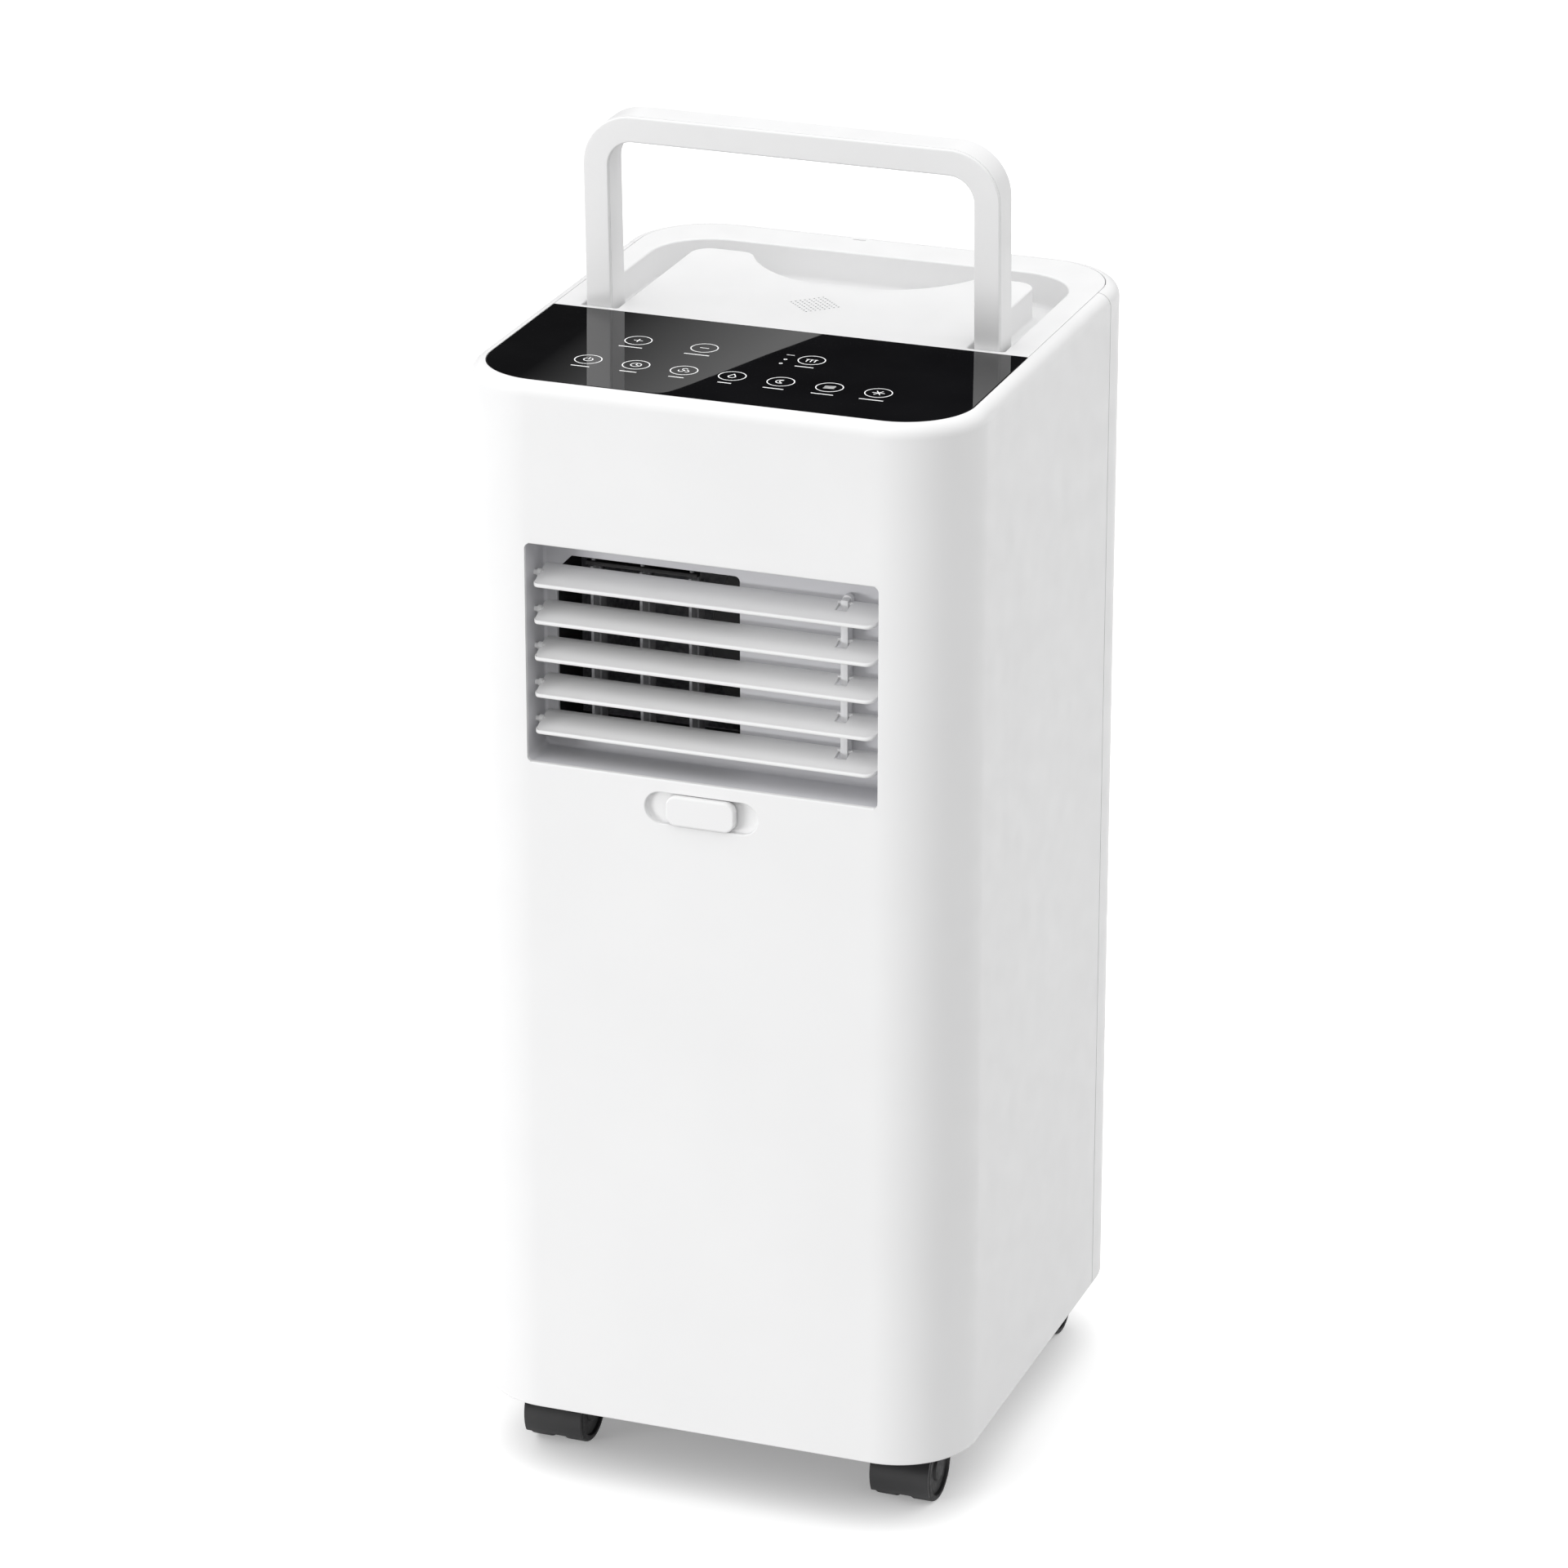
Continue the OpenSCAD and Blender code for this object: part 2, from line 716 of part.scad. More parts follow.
module vane_link() {
    y0 = vane_y - link_arm;
    color([0.9, 0.9, 0.9]) difference() {
        box(vane_x0 - 4, vane_x0 + 2 * vane_pitch + 4, y0 - 2.6, y0 + 2.6, vane_z1 + 0.6, vane_z1 + 3);
        for (i = [0:2]) {
            translate([vane_x0 + i * vane_pitch, y0, vane_z1 - 2])
                cylinder(h = 8, r = 1.2 + running);
        }
    }
}

// Dished track behind the front wall, with a slot that the knob's stem runs along
module slider_track() {
    y0 = front_y + wall;
    color(white) difference() {
        along_y(y0, y0 + track_floor) translate([0, track_z]) round_rect(track_w + 8, track_h + 5, 9);
        along_y(y0 - 1, y0 + 1.6) slider_window(0);
        along_y(front_y - 1, y0 + track_floor + 1)
            translate([0, track_z]) square([2 * (knob_travel + stem_half + 0.5), 7], center = true);
    }
}

module slider_knob() {
    y_stem = front_y + wall + track_floor + 0.3;
    fork_y = vane_y - lever_arm;
    color(white) union() {
        along_y(front_y - knob_proud, front_y + 2.4) translate([0, track_z]) intersection() {
            square([knob_w, knob_h], center = true);
            union() {
                square([knob_w - 2 * knob_end_r, knob_h], center = true);
                for (side = [-1, 1]) {
                    translate([side * (knob_w / 2 - knob_end_r), 0]) circle(r = knob_end_r);
                }
            }
        }
        box(-stem_half, stem_half, front_y + 2, y_stem + 0.5, track_z - 3, track_z + 3);
        difference() {
            box(-9, 9, y_stem, fork_y + 7, track_z - 6, lever_z - 0.6);
            box(-lever_pin_r - fork_slack, lever_pin_r + fork_slack, fork_y - 4, fork_y + 8,
                lever_z - 5.6, lever_z);
        }
    }
}

module base_tray() {
    color([0.3, 0.3, 0.32]) difference() {
        union() {
            difference() {
                translate([0, 0, tray_z]) linear_extrude(tray_h) plan(wall + 0.3);
                translate([0, 0, tray_z + tray_floor]) linear_extrude(tray_h) plan(wall + 3);
            }
            for (sx = [-1, 1], sy = [-1, 1]) {
                translate([sx * caster_x, sy * caster_y, tray_z]) cylinder(h = 24, r = 10);
            }
            for (a = foot_angles) {
                translate([comp_x + foot_at * cos(a), comp_y + foot_at * sin(a), tray_z + 2])
                    cylinder(h = 22, r = 3);
            }
            rod_y(drain_places[1][0], drain_places[1][1], rear_y - wall - 3, rear_y - 0.5, 7.8);
        }
        rod_y(drain_places[1][0], drain_places[1][1], rear_y - 14, rear_y + 1, drain_r + eps);
        for (sx = [-1, 1], sy = [-1, 1]) {
            translate([sx * caster_x, sy * caster_y, tray_z - 1])
                cylinder(h = stem_top + 0.5 - tray_z + 1, r = stem_r + running);
        }
    }
}

// Casters: corner is a pair of signs for the side and the end
module at_caster(corner) {
    translate([corner[0] * caster_x, corner[1] * caster_y, 0]) children();
}

module caster_hood(corner) {
    color([0.09, 0.09, 0.1]) at_caster(corner) difference() {
        union() {
            translate([0, 0, axle_z + wheel_r]) cylinder(h = stem_top - axle_z - wheel_r, r = stem_r);
            translate([0, 0, axle_z + wheel_r + hood_gap])
                cylinder(h = tray_z - axle_z - wheel_r - hood_gap - 0.3, r = 9);
            translate([0, caster_trail, axle_z]) {
                along_x(-caster_w / 2 + 0.5, caster_w / 2 - 0.5) difference() {
                    circle(r = hood_r);
                    circle(r = wheel_r + hood_gap);
                    rotate(-152) square(60);
                    rotate(-90) square(60);
                    rotate(-62) square(60);
                }
                along_x(-web_w / 2, web_w / 2) difference() {
                    circle(r = hood_r - 1);
                    translate([-30, -50]) square([60, 50 - 12]);
                }
            }
        }
        translate([0, caster_trail, 0]) rod_x(0, axle_z, -web_w, web_w, axle_r + running);
    }
}

// Two wheels on one axle
module caster_wheels(corner) {
    wheel_w = (caster_w - web_w) / 2 - 1;
    edge = 2;
    color([0.12, 0.12, 0.13]) at_caster(corner) translate([0, caster_trail, axle_z])
        rotate([0, 90, 0]) {
            cylinder(h = caster_w - 1, r = axle_r, center = true);
            for (side = [-1, 1]) {
                mirror([0, 0, side < 0 ? 1 : 0]) translate([0, 0, web_w / 2 + 0.5]) {
                    cylinder(h = edge, r1 = wheel_r - edge, r2 = wheel_r);
                    translate([0, 0, edge]) cylinder(h = wheel_w - 2 * edge, r = wheel_r);
                    translate([0, 0, wheel_w - edge])
                        cylinder(h = edge, r1 = wheel_r, r2 = wheel_r - edge);
                }
            }
        }
}

corner_fl = [-1, -1];
corner_fr = [1, -1];
corner_rl = [-1, 1];
corner_rr = [1, 1];

// Posts that carry the partition and the deck
module chassis_posts() {
    ledge_z = deck_z - ledge_bottom;
    basin_z = deck_z - channel_depth - basin_wall;
    color("lightsteelblue") for (sx = [-1, 1], rear = [false, true]) {
        y = rear ? 96 : -112;
        for (span = [[tray_z + tray_floor, partition_z],
                     [partition_z + partition_t, rear ? basin_z : ledge_z]]) {
            mirror([sx > 0 ? 0 : 1, 0, 0]) difference() {
                box(126, 139, y - 6.5, y + 6.5, span[0], span[1]);
                box(125, 137, y - 7, y + 4.5, span[0] - 1, span[1] + 1);
            }
        }
    }
}

module partition_plate() {
    color([0.92, 0.92, 0.9]) difference() {
        union() {
            translate([0, 0, partition_z]) linear_extrude(partition_t) plan(6);
            difference() {
                box(-pan_half, pan_half, 108, 152, partition_z + 2, partition_z + 18);
                box(-pan_half + 2, pan_half - 2, 110, 150, partition_z + partition_t,
                    partition_z + 20);
            }
            rod_y(drain_places[0][0], drain_places[0][1], 151, rear_y - 0.5, 7.8);
        }
        rod_y(drain_places[0][0], drain_places[0][1], 148, rear_y + 1, drain_r + eps);
        for (p = pipe_holes) {
            translate([p[0], p[1], partition_z - 1]) cylinder(h = 5, r = 6);
        }
    }
}

// Centrifugal fan: a backplate, a hub, a ring of blades and a shroud ring
module fan_wheel(r, depth, blades) {
    blade_t = 1.2;
    union() {
        cylinder(h = 2, r = r);
        cylinder(h = depth * 0.55, r = 9);
        translate([0, 0, depth - 3]) difference() {
            cylinder(h = 3, r = r);
            translate([0, 0, -1]) cylinder(h = 5, r = r - 14);
        }
        for (i = [0:blades - 1]) {
            rotate([0, 0, i * 360 / blades]) translate([r - 13, 0, 1]) rotate([0, 0, 35])
                cube([12, blade_t, depth - 2]);
        }
    }
}

volute_wall = 2;
shoulder = 1.5;
collar_proud = 2.5;
evap_volute_y0 = -94;
evap_volute_y1 = 0;
evap_volute_r = 91;

module evap_volute_outline(grow) {
    translate([evap_x, evap_z]) circle(r = evap_volute_r + grow);
    translate([duct_x0 - grow, duct_z0 - grow])
        square([evap_x - duct_x0, duct_z1 - duct_z0 + 2 * grow]);
}

module evap_volute() {
    color([0.88, 0.88, 0.86]) difference() {
        union() {
            along_y(evap_volute_y0 - volute_wall, evap_volute_y1 + volute_wall)
                evap_volute_outline(volute_wall);
            for (y = [evap_volute_y0, evap_volute_y1 - 4]) {
                box(evap_x - 40, evap_x + 40, y, y + 4, partition_z + partition_t, evap_z - 80);
            }
        }
        along_y(evap_volute_y0, evap_volute_y1) evap_volute_outline(0);
        rod_y(evap_x, evap_z, evap_volute_y1 - 1, evap_volute_y1 + 4, 60);
        rod_y(evap_x, evap_z, evap_volute_y0 - 4, evap_volute_y0 + 1, 14);
        box(duct_x0, duct_x1, duct_rear_y - 1, evap_volute_y0 + 1, duct_z0, duct_z1);
    }
}

module evap_fan() {
    color([0.2, 0.2, 0.22]) union() {
        translate([evap_x, evap_volute_y0 + 6, evap_z]) rotate([-90, 0, 0]) fan_wheel(74, 78, 22);
        rod_y(evap_x, evap_z, evap_volute_y0 - 24, evap_volute_y0 + 7, 4);
    }
}

module fan_motor(y0, y1, x, z, r, bore_y0, bore_y1) {
    difference() {
        union() {
            rod_y(x, z, y0, y1, r);
            rod_y(x, z, (y0 + y1) / 2 - 1.5, (y0 + y1) / 2 + 1.5, r + 3);
        }
        rod_y(x, z, bore_y0, bore_y1, 4 + running);
    }
}

module evap_motor() {
    color([0.55, 0.56, 0.58]) fan_motor(-127, evap_volute_y0 - volute_wall, evap_x, evap_z, 30,
                                        evap_volute_y0 - 26, evap_volute_y0);
}

cond_volute_y0 = -10;
cond_volute_y1 = 62;
cond_volute_r = 74;

module cond_volute_outline(grow) {
    translate([cond_x, cond_z]) circle(r = cond_volute_r + grow);
    translate([cond_x, exhaust_z - exhaust_r - grow])
        square([exhaust_x + exhaust_r - cond_x + grow, 2 * (exhaust_r + grow)]);
}

module cond_volute() {
    color([0.88, 0.88, 0.86]) difference() {
        union() {
            along_y(cond_volute_y0 - volute_wall, cond_volute_y1 + volute_wall)
                cond_volute_outline(volute_wall);
            for (y = [cond_volute_y0, cond_volute_y1 - 4]) {
                box(cond_x, cond_x + 120, y, y + 4, exhaust_z + exhaust_r, partition_z);
            }
        }
        along_y(cond_volute_y0, cond_volute_y1) cond_volute_outline(0);
        rod_y(cond_x, cond_z, cond_volute_y0 - 4, cond_volute_y0 + 1, 46);
        rod_y(cond_x, cond_z, cond_volute_y1 - 1, cond_volute_y1 + 4, 14);
        rod_y(exhaust_x, exhaust_z, cond_volute_y1 - 1, cond_volute_y1 + 4, exhaust_r - shoulder);
    }
}

module cond_fan() {
    color([0.2, 0.2, 0.22]) union() {
        translate([cond_x, cond_volute_y1 - 6, cond_z]) rotate([90, 0, 0]) fan_wheel(58, 58, 18);
        rod_y(cond_x, cond_z, cond_volute_y1 - 7, cond_volute_y1 + 24, 4);
    }
}

module cond_motor() {
    color([0.55, 0.56, 0.58]) fan_motor(cond_volute_y1 + volute_wall, 98, cond_x, cond_z, 26,
                                        cond_volute_y1, cond_volute_y1 + 26);
}

// Finned coil with tube bends at both ends
module coil(half_w, y0, y1, z_foot, z0, z1, rows) {
    step = (z1 - z0) / rows;
    tube_r = 3.5;
    y_mid = (y0 + y1) / 2;
    union() {
        box(-half_w, half_w, y0, y1, z0, z1);
        for (side = [-1, 1]) {
            mirror([side > 0 ? 0 : 1, 0, 0]) {
                box(half_w - eps, half_w + 1.5, y0 - 2, y1 + 2, z_foot, z1 + 3);
                for (i = [0:2:rows - 3]) {
                    translate([half_w + 1, y_mid, z0 + (i + (side > 0 ? 1 : 2)) * step])
                        rotate([90, 0, 0]) rotate([0, 0, -90]) rotate_extrude(angle = 180)
                            translate([step / 2, 0]) circle(r = tube_r);
                }
            }
        }
    }
}

coil_y0 = 118;
coil_y1 = 146;

module evap_coil() {
    color([0.75, 0.78, 0.8]) coil(100, coil_y0, coil_y1, partition_z + partition_t,
                                      partition_z + 14, 622, 8);
}

module cond_coil() {
    color([0.75, 0.78, 0.8]) coil(90, coil_y0, coil_y1, tray_z + tray_floor, 84, 254, 8);
}

// The duct is narrower than the collar, and its end is the shoulder that stops the hose fitting
module exhaust_duct() {
    color([0.88, 0.88, 0.86]) difference() {
        rod_y(exhaust_x, exhaust_z, cond_volute_y1 + volute_wall, rear_y - exhaust_seat,
              exhaust_r + 2);
        rod_y(exhaust_x, exhaust_z, cond_volute_y1, rear_y, exhaust_r - shoulder);
    }
}

// Ring that the exhaust hose fits, with four notches for the hose coupling
module exhaust_collar() {
    color([0.8, 0.8, 0.8]) difference() {
        union() {
            rod_y(exhaust_x, exhaust_z, rear_y - exhaust_seat, rear_y + collar_proud, exhaust_r + 6);
            rod_y(exhaust_x, exhaust_z, rear_y - wall - 3.2, rear_y - wall - 0.4, exhaust_r + 9);
        }
        rod_y(exhaust_x, exhaust_z, rear_y - exhaust_seat - 1, rear_y + 20, exhaust_r);
        for (a = [45:90:315]) {
            translate([exhaust_x, rear_y + 1, exhaust_z]) rotate([0, a, 0])
                box(exhaust_r - 1, exhaust_r + 2.5, -4, 4, -8, 8);
        }
    }
}

comp_x = 50;
comp_y = -70;
comp_r = 54;
comp_z0 = 78;
comp_z1 = 246;
foot_at = 68;
foot_angles = [30, 150, 270];

// Half section of the compressor's shell, with domed ends that have a small flat in the middle
module compressor_section() {
    dome_r = 80;
    flat = 0.4;
    dome_h = dome_r - sqrt(pow(dome_r, 2) - pow(comp_r, 2));
    translate([0, comp_z0 + dome_h]) square([comp_r, comp_z1 - comp_z0 - 2 * dome_h]);
    for (span = [[comp_z0, comp_z0 + dome_r - flat],
                 [comp_z1 - 2 * dome_h, comp_z1 - dome_r + flat]]) {
        intersection() {
            translate([0, span[0]]) square([comp_r, 2 * dome_h]);
            translate([0, span[1]]) circle(r = dome_r);
        }
    }
}

module compressor() {
    color([0.1, 0.1, 0.11]) translate([comp_x, comp_y, 0]) difference() {
        union() {
            rotate_extrude() compressor_section();
            for (a = foot_angles) {
                rotate([0, 0, a]) {
                    box(comp_r - 30, foot_at, -14, 14, comp_z0 - 1, comp_z0 + 3);
                    translate([foot_at, 0, comp_z0 - 1]) cylinder(h = 4, r = 14);
                    box(comp_r - 30, comp_r - 10, -14, 14, comp_z0 + 2, comp_z0 + 24);
                }
            }
            translate([20, 0, comp_z1 - 10]) cylinder(h = 12, r = 5);
        }
        for (a = foot_angles) {
            rotate([0, 0, a]) translate([foot_at, 0, comp_z0 - 5]) cylinder(h = 12, r = 8);
        }
    }
}

acc_x = -32;
acc_y = -70;

module accumulator() {
    color([0.1, 0.1, 0.11]) union() {
        translate([acc_x, acc_y, 118]) cylinder(h = 84, r = 21);
        translate([acc_x, acc_y, 202]) cylinder(h = 14, r1 = 21, r2 = 5);
        translate([acc_x, acc_y, 104]) cylinder(h = 14, r1 = 5, r2 = 21);
        rod_x(acc_y, 150, acc_x + 20, comp_x - comp_r + 0.05, 6);
    }
}

module compressor_grommets() {
    color([0.15, 0.15, 0.16]) for (a = foot_angles) {
        translate([comp_x + foot_at * cos(a), comp_y + foot_at * sin(a), tray_z + tray_floor])
            difference() {
                union() {
                    cylinder(h = comp_z0 - 1 - tray_z - tray_floor, r = 13);
                    cylinder(h = comp_z0 + 6 - tray_z - tray_floor, r = 7.8);
                }
                translate([0, 0, -1]) cylinder(h = 60, r = 3.2);
            }
    }
}

// A tube along straight runs at right angles, with a round bend at each corner
module tube_path(points, r, bend) {
    last = len(points) - 1;
    dir = [for (i = [0:last - 1]) (points[i + 1] - points[i]) / norm(points[i + 1] - points[i])];
    for (i = [0:last - 1]) {
        start = points[i] + (i > 0 ? bend : 0) * dir[i];
        stop = points[i + 1] - (i < last - 1 ? bend : 0) * dir[i];
        run = norm(stop - start);
        tilt = acos(dir[i][2]);
        spin = atan2(dir[i][1], dir[i][0]);
        translate(start) rotate([0, tilt, spin]) cylinder(h = run, r = r, $fn = 32);
    }
    for (i = [1:last - 1]) {
        a = dir[i - 1];
        b = dir[i];
        n = cross(a, b);
        c = points[i] - bend * a + bend * b;
        multmatrix([[-b[0], a[0], n[0], c[0]], [-b[1], a[1], n[1], c[1]],
                    [-b[2], a[2], n[2], c[2]], [0, 0, 0, 1]])
            rotate_extrude(angle = 90, $fn = 64) translate([bend, 0]) circle(r = r, $fn = 32);
    }
}

pipe_holes = [[-121, 80], [120, 112]];
discharge_route = [[70, -70, 248], [70, -70, 257], [118, -70, 257], [118, 132, 257],
                   [118, 132, 236], [91.5, 132, 236]];
suction_route = [[101.5, 132, 606], [120, 132, 606], [120, 112, 606], [120, 112, 280],
                 [120, -40, 280], [-32, -40, 280], [-32, -70, 280], [-32, -70, 216]];
liquid_route = [[-91.5, 132, 94], [-121, 132, 94], [-121, 80, 94], [-121, 80, 436],
                [-121, 132, 436], [-101.5, 132, 436]];

module copper_pipes() {
    color([0.72, 0.42, 0.25]) {
        tube_path(discharge_route, 3.2, 8);
        tube_path(suction_route, 4.8, 8);
        tube_path(liquid_route, 2.4, 8);
    }
}

splash_x = -40;
splash_y = 104;
splash_z = 74;

module splash_wheel() {
    color([0.9, 0.9, 0.88]) union() {
        rod_y(splash_x, splash_z, splash_y - 2, splash_y, 17);
        rod_y(splash_x, splash_z, splash_y - 20, splash_y, 2);
        for (a = [0:45:315]) {
            translate([splash_x, splash_y - 1, splash_z]) rotate([0, a, 0])
                box(8, 17, -5, 5, -0.8, 0.8);
        }
    }
}

module splash_motor() {
    color([0.3, 0.3, 0.32]) difference() {
        union() {
            rod_y(splash_x, splash_z, splash_y - 38, splash_y - 8, 13);
            box(splash_x - 15, splash_x + 15, splash_y - 36, splash_y - 14, tray_z + tray_floor,
                splash_z);
        }
        rod_y(splash_x, splash_z, splash_y - 22, splash_y, 2 + running);
    }
}

module board_box() {
    color([0.93, 0.92, 0.88]) difference() {
        box(104, 134, 12, 89.5, 520, 630);
        box(106, 132, 14, 87.5, 522, 640);
    }
    color([0.93, 0.92, 0.88]) for (y = [20, 80], z = [530, 624]) {
        rod_x(y, z, 128.6, 132 + eps, 2.5);
    }
}

module main_board() {
    color("seagreen") union() {
        box(127, 128.6, 15, 85, 523, 632);
        box(112, 127 + eps, 20, 44, 560, 590);
        box(118, 127 + eps, 50, 80, 530, 556);
        translate([127 + eps, 66, 600]) rotate([0, -90, 0]) cylinder(h = 18, r = 11);
        translate([127 + eps, 34, 540]) rotate([0, -90, 0]) cylinder(h = 14, r = 8);
    }
}

// Snap-in intake panel with horizontal slots
module intake_grille(z_mid, h) {
    inset = 0.4;
    slot = 4.6;
    pitch = 9.5;
    rows = floor((h - 22) / pitch);
    color(white) difference() {
        union() {
            along_y(rear_y - wall, rear_y) translate([0, z_mid])
                round_rect(grille_w - 2 * inset, h - 2 * inset, 6 - inset);
            along_y(rear_y - wall - 1.5, rear_y - wall) translate([0, z_mid]) difference() {
                round_rect(grille_w + 6, h + 6, 8);
                square([grille_w - 3, h - 3], center = true);
            }
        }
        for (i = [0:rows - 1], side = [-1, 1]) {
            translate([side * (grille_w / 4 - 1), 0, z_mid + (i - (rows - 1) / 2) * pitch])
                box(-grille_w / 4 + 8, grille_w / 4 - 5, rear_y - wall - 1, rear_y + 1, -slot / 2,
                    slot / 2);
        }
    }
}

// Filter: a thin screen in a frame, clipped behind the intake panel
module filter_screen(z_mid, h) {
    y1 = rear_y - wall;
    color([0.55, 0.6, 0.65]) union() {
        along_y(y1 - 1.6, y1 - 0.8) translate([0, z_mid])
            square([grille_w - 10, h - 10], center = true);
        along_y(y1 - 3.2, y1) translate([0, z_mid]) difference() {
            square([grille_w - 4, h - 4], center = true);
            square([grille_w - 14, h - 14], center = true);
        }
    }
}

// Rubber plug of a drain spout, with a pull tab
module drain_plugs() {
    color([0.2, 0.2, 0.21]) for (p = drain_places) {
        rod_y(p[0], p[1], rear_y - 12.5, rear_y, drain_r);
        rod_y(p[0], p[1], rear_y, rear_y + 2, 9);
    }
}

// Bushing of the mains lead's hole
module cord_gland() {
    color([0.1, 0.1, 0.1]) difference() {
        union() {
            rod_y(gland_x, gland_z, rear_y - 8, rear_y, 8.8);
            rod_y(gland_x, gland_z, rear_y, rear_y + 1.8, 11);
        }
        rod_y(gland_x, gland_z, rear_y - 10, rear_y + 5, 4);
    }
}

module cover_screws() {
    color([0.7, 0.7, 0.72]) for (p = screw_places) {
        difference() {
            union() {
                rod_y(p[0], p[1], rear_y - 14, rear_y + 0.2, 2);
                rod_y(p[0], p[1], rear_y, rear_y + 1.6, 4);
            }
            box(p[0] - 2.4, p[0] + 2.4, rear_y + 0.8, rear_y + 3, p[1] - 0.5, p[1] + 0.5);
            box(p[0] - 0.5, p[0] + 0.5, rear_y + 0.8, rear_y + 3, p[1] - 2.4, p[1] + 2.4);
        }
    }
}

front_shell();
rear_cover();
top_deck();
glass_panel();
touch_board();
touch_springs();
sensor_grille();
handle_cover();
handle_body();
hinge_pins();
vent_frame();
louver(1);  // louver_1
louver(2);  // louver_2
louver(3);  // louver_3
louver(4);  // louver_4
louver(5);  // louver_5
louver_tie_bar();
outlet_duct();
vane(1);  // vane_1
vane(2);  // vane_2
vane(3);  // vane_3
vane_link();
slider_track();
slider_knob();
base_tray();
caster_hood(corner_fl);  // caster_hood_fl
caster_hood(corner_fr);  // caster_hood_fr
caster_hood(corner_rl);  // caster_hood_rl
caster_hood(corner_rr);  // caster_hood_rr
caster_wheels(corner_fl);  // caster_wheels_fl
caster_wheels(corner_fr);  // caster_wheels_fr
caster_wheels(corner_rl);  // caster_wheels_rl
caster_wheels(corner_rr);  // caster_wheels_rr
chassis_posts();
partition_plate();
evap_volute();
evap_fan();
evap_motor();
evap_coil();
cond_volute();
cond_fan();
cond_motor();
cond_coil();
exhaust_duct();
exhaust_collar();
compressor();
accumulator();
compressor_grommets();
copper_pipes();
splash_wheel();
splash_motor();
board_box();
main_board();
intake_grille(grille_upper_z, grille_upper_h);  // intake_grille_upper
filter_screen(grille_upper_z, grille_upper_h);  // filter_upper
intake_grille(grille_lower_z, grille_lower_h);  // intake_grille_lower
filter_screen(grille_lower_z, grille_lower_h);  // filter_lower
drain_plugs();
cord_gland();
cover_screws();
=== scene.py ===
"""Looks for the portable air conditioner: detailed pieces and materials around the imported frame.

Lengths in this script are in millimetres until put() turns them into metres. X runs to the right as
seen from the front, Y from the front to the rear, and Z up.
"""

import json
import math

import bmesh
import bpy
from mathutils import Matrix, Vector
from mathutils.geometry import tessellate_polygon


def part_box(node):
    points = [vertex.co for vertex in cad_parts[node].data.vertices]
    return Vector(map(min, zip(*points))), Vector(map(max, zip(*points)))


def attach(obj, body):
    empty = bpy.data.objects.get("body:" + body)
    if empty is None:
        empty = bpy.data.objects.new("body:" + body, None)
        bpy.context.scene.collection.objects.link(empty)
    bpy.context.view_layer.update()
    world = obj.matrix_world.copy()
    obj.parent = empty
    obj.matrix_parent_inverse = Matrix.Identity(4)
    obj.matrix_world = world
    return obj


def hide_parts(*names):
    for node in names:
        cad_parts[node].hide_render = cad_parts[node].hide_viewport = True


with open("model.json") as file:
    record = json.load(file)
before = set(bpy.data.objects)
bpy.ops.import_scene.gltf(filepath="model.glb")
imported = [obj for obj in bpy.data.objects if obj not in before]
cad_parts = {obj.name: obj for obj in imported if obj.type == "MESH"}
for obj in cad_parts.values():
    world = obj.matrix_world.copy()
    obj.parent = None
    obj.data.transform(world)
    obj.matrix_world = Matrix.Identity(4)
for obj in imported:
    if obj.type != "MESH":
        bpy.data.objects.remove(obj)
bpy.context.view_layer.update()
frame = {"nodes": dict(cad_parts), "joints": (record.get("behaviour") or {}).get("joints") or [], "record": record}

MM = 0.001
scene = bpy.context.scene
joint_at = {j["name"]: [c / MM for c in j["pos_m"]] for j in frame["joints"]}


def box_mm(node):
    """Lowest and highest corner of a CAD node, in millimetres."""
    low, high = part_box(node)
    return [c / MM for c in low], [c / MM for c in high]


# ---------------------------------------------------------------- outlines and meshes


def arc(cx, cy, r, start, end, steps=8):
    """Points on an arc between two angles in degrees, both ends included."""
    turns = [math.radians(start + (end - start) * i / steps) for i in range(steps + 1)]
    return [(cx + r * math.cos(a), cy + r * math.sin(a)) for a in turns]


def round_rect(cx, cy, half_w, half_h, r, steps=8):
    """A rectangle with round corners, counterclockwise."""
    x, y = half_w - r, half_h - r
    return (
        arc(cx + x, cy - y, r, -90, 0, steps)
        + arc(cx + x, cy + y, r, 0, 90, steps)
        + arc(cx - x, cy + y, r, 90, 180, steps)
        + arc(cx - x, cy - y, r, 180, 270, steps)
    )


def circle(cx, cy, r, steps=32):
    return arc(cx, cy, r, 0, 360 * (steps - 1) / steps, steps - 1)


def inset(outline, distance):
    """A closed counterclockwise outline moved inwards, or outwards for a negative distance."""
    moved = []
    for i, (x, y) in enumerate(outline):
        before = outline[i - 1]
        after = outline[(i + 1) % len(outline)]
        u = Vector((x - before[0], y - before[1])).normalized()
        v = Vector((after[0] - x, after[1] - y)).normalized()
        scale = distance / (1 + u.dot(v))
        moved.append((x - (u.y + v.y) * scale, y + (u.x + v.x) * scale))
    return moved


def levels(low, high, low_r, high_r, steps=3):
    """Pairs of height and inset up a wall with rounded lower and upper edges."""
    turns = [math.radians(90 * i / steps) for i in range(steps + 1)]
    up = [(low + low_r * (1 - math.cos(a)), low_r * (1 - math.sin(a))) for a in turns]
    down = [(high - high_r * (1 - math.cos(a)), high_r * (1 - math.sin(a))) for a in turns]
    return (up if low_r else up[:1]) + (down[::-1] if high_r else down[:1])


def upright(x, y, h):
    return (x, y, h)


def along_y(x, z, h):
    return (x, h, z)


def along_x(y, z, h):
    return (h, y, z)


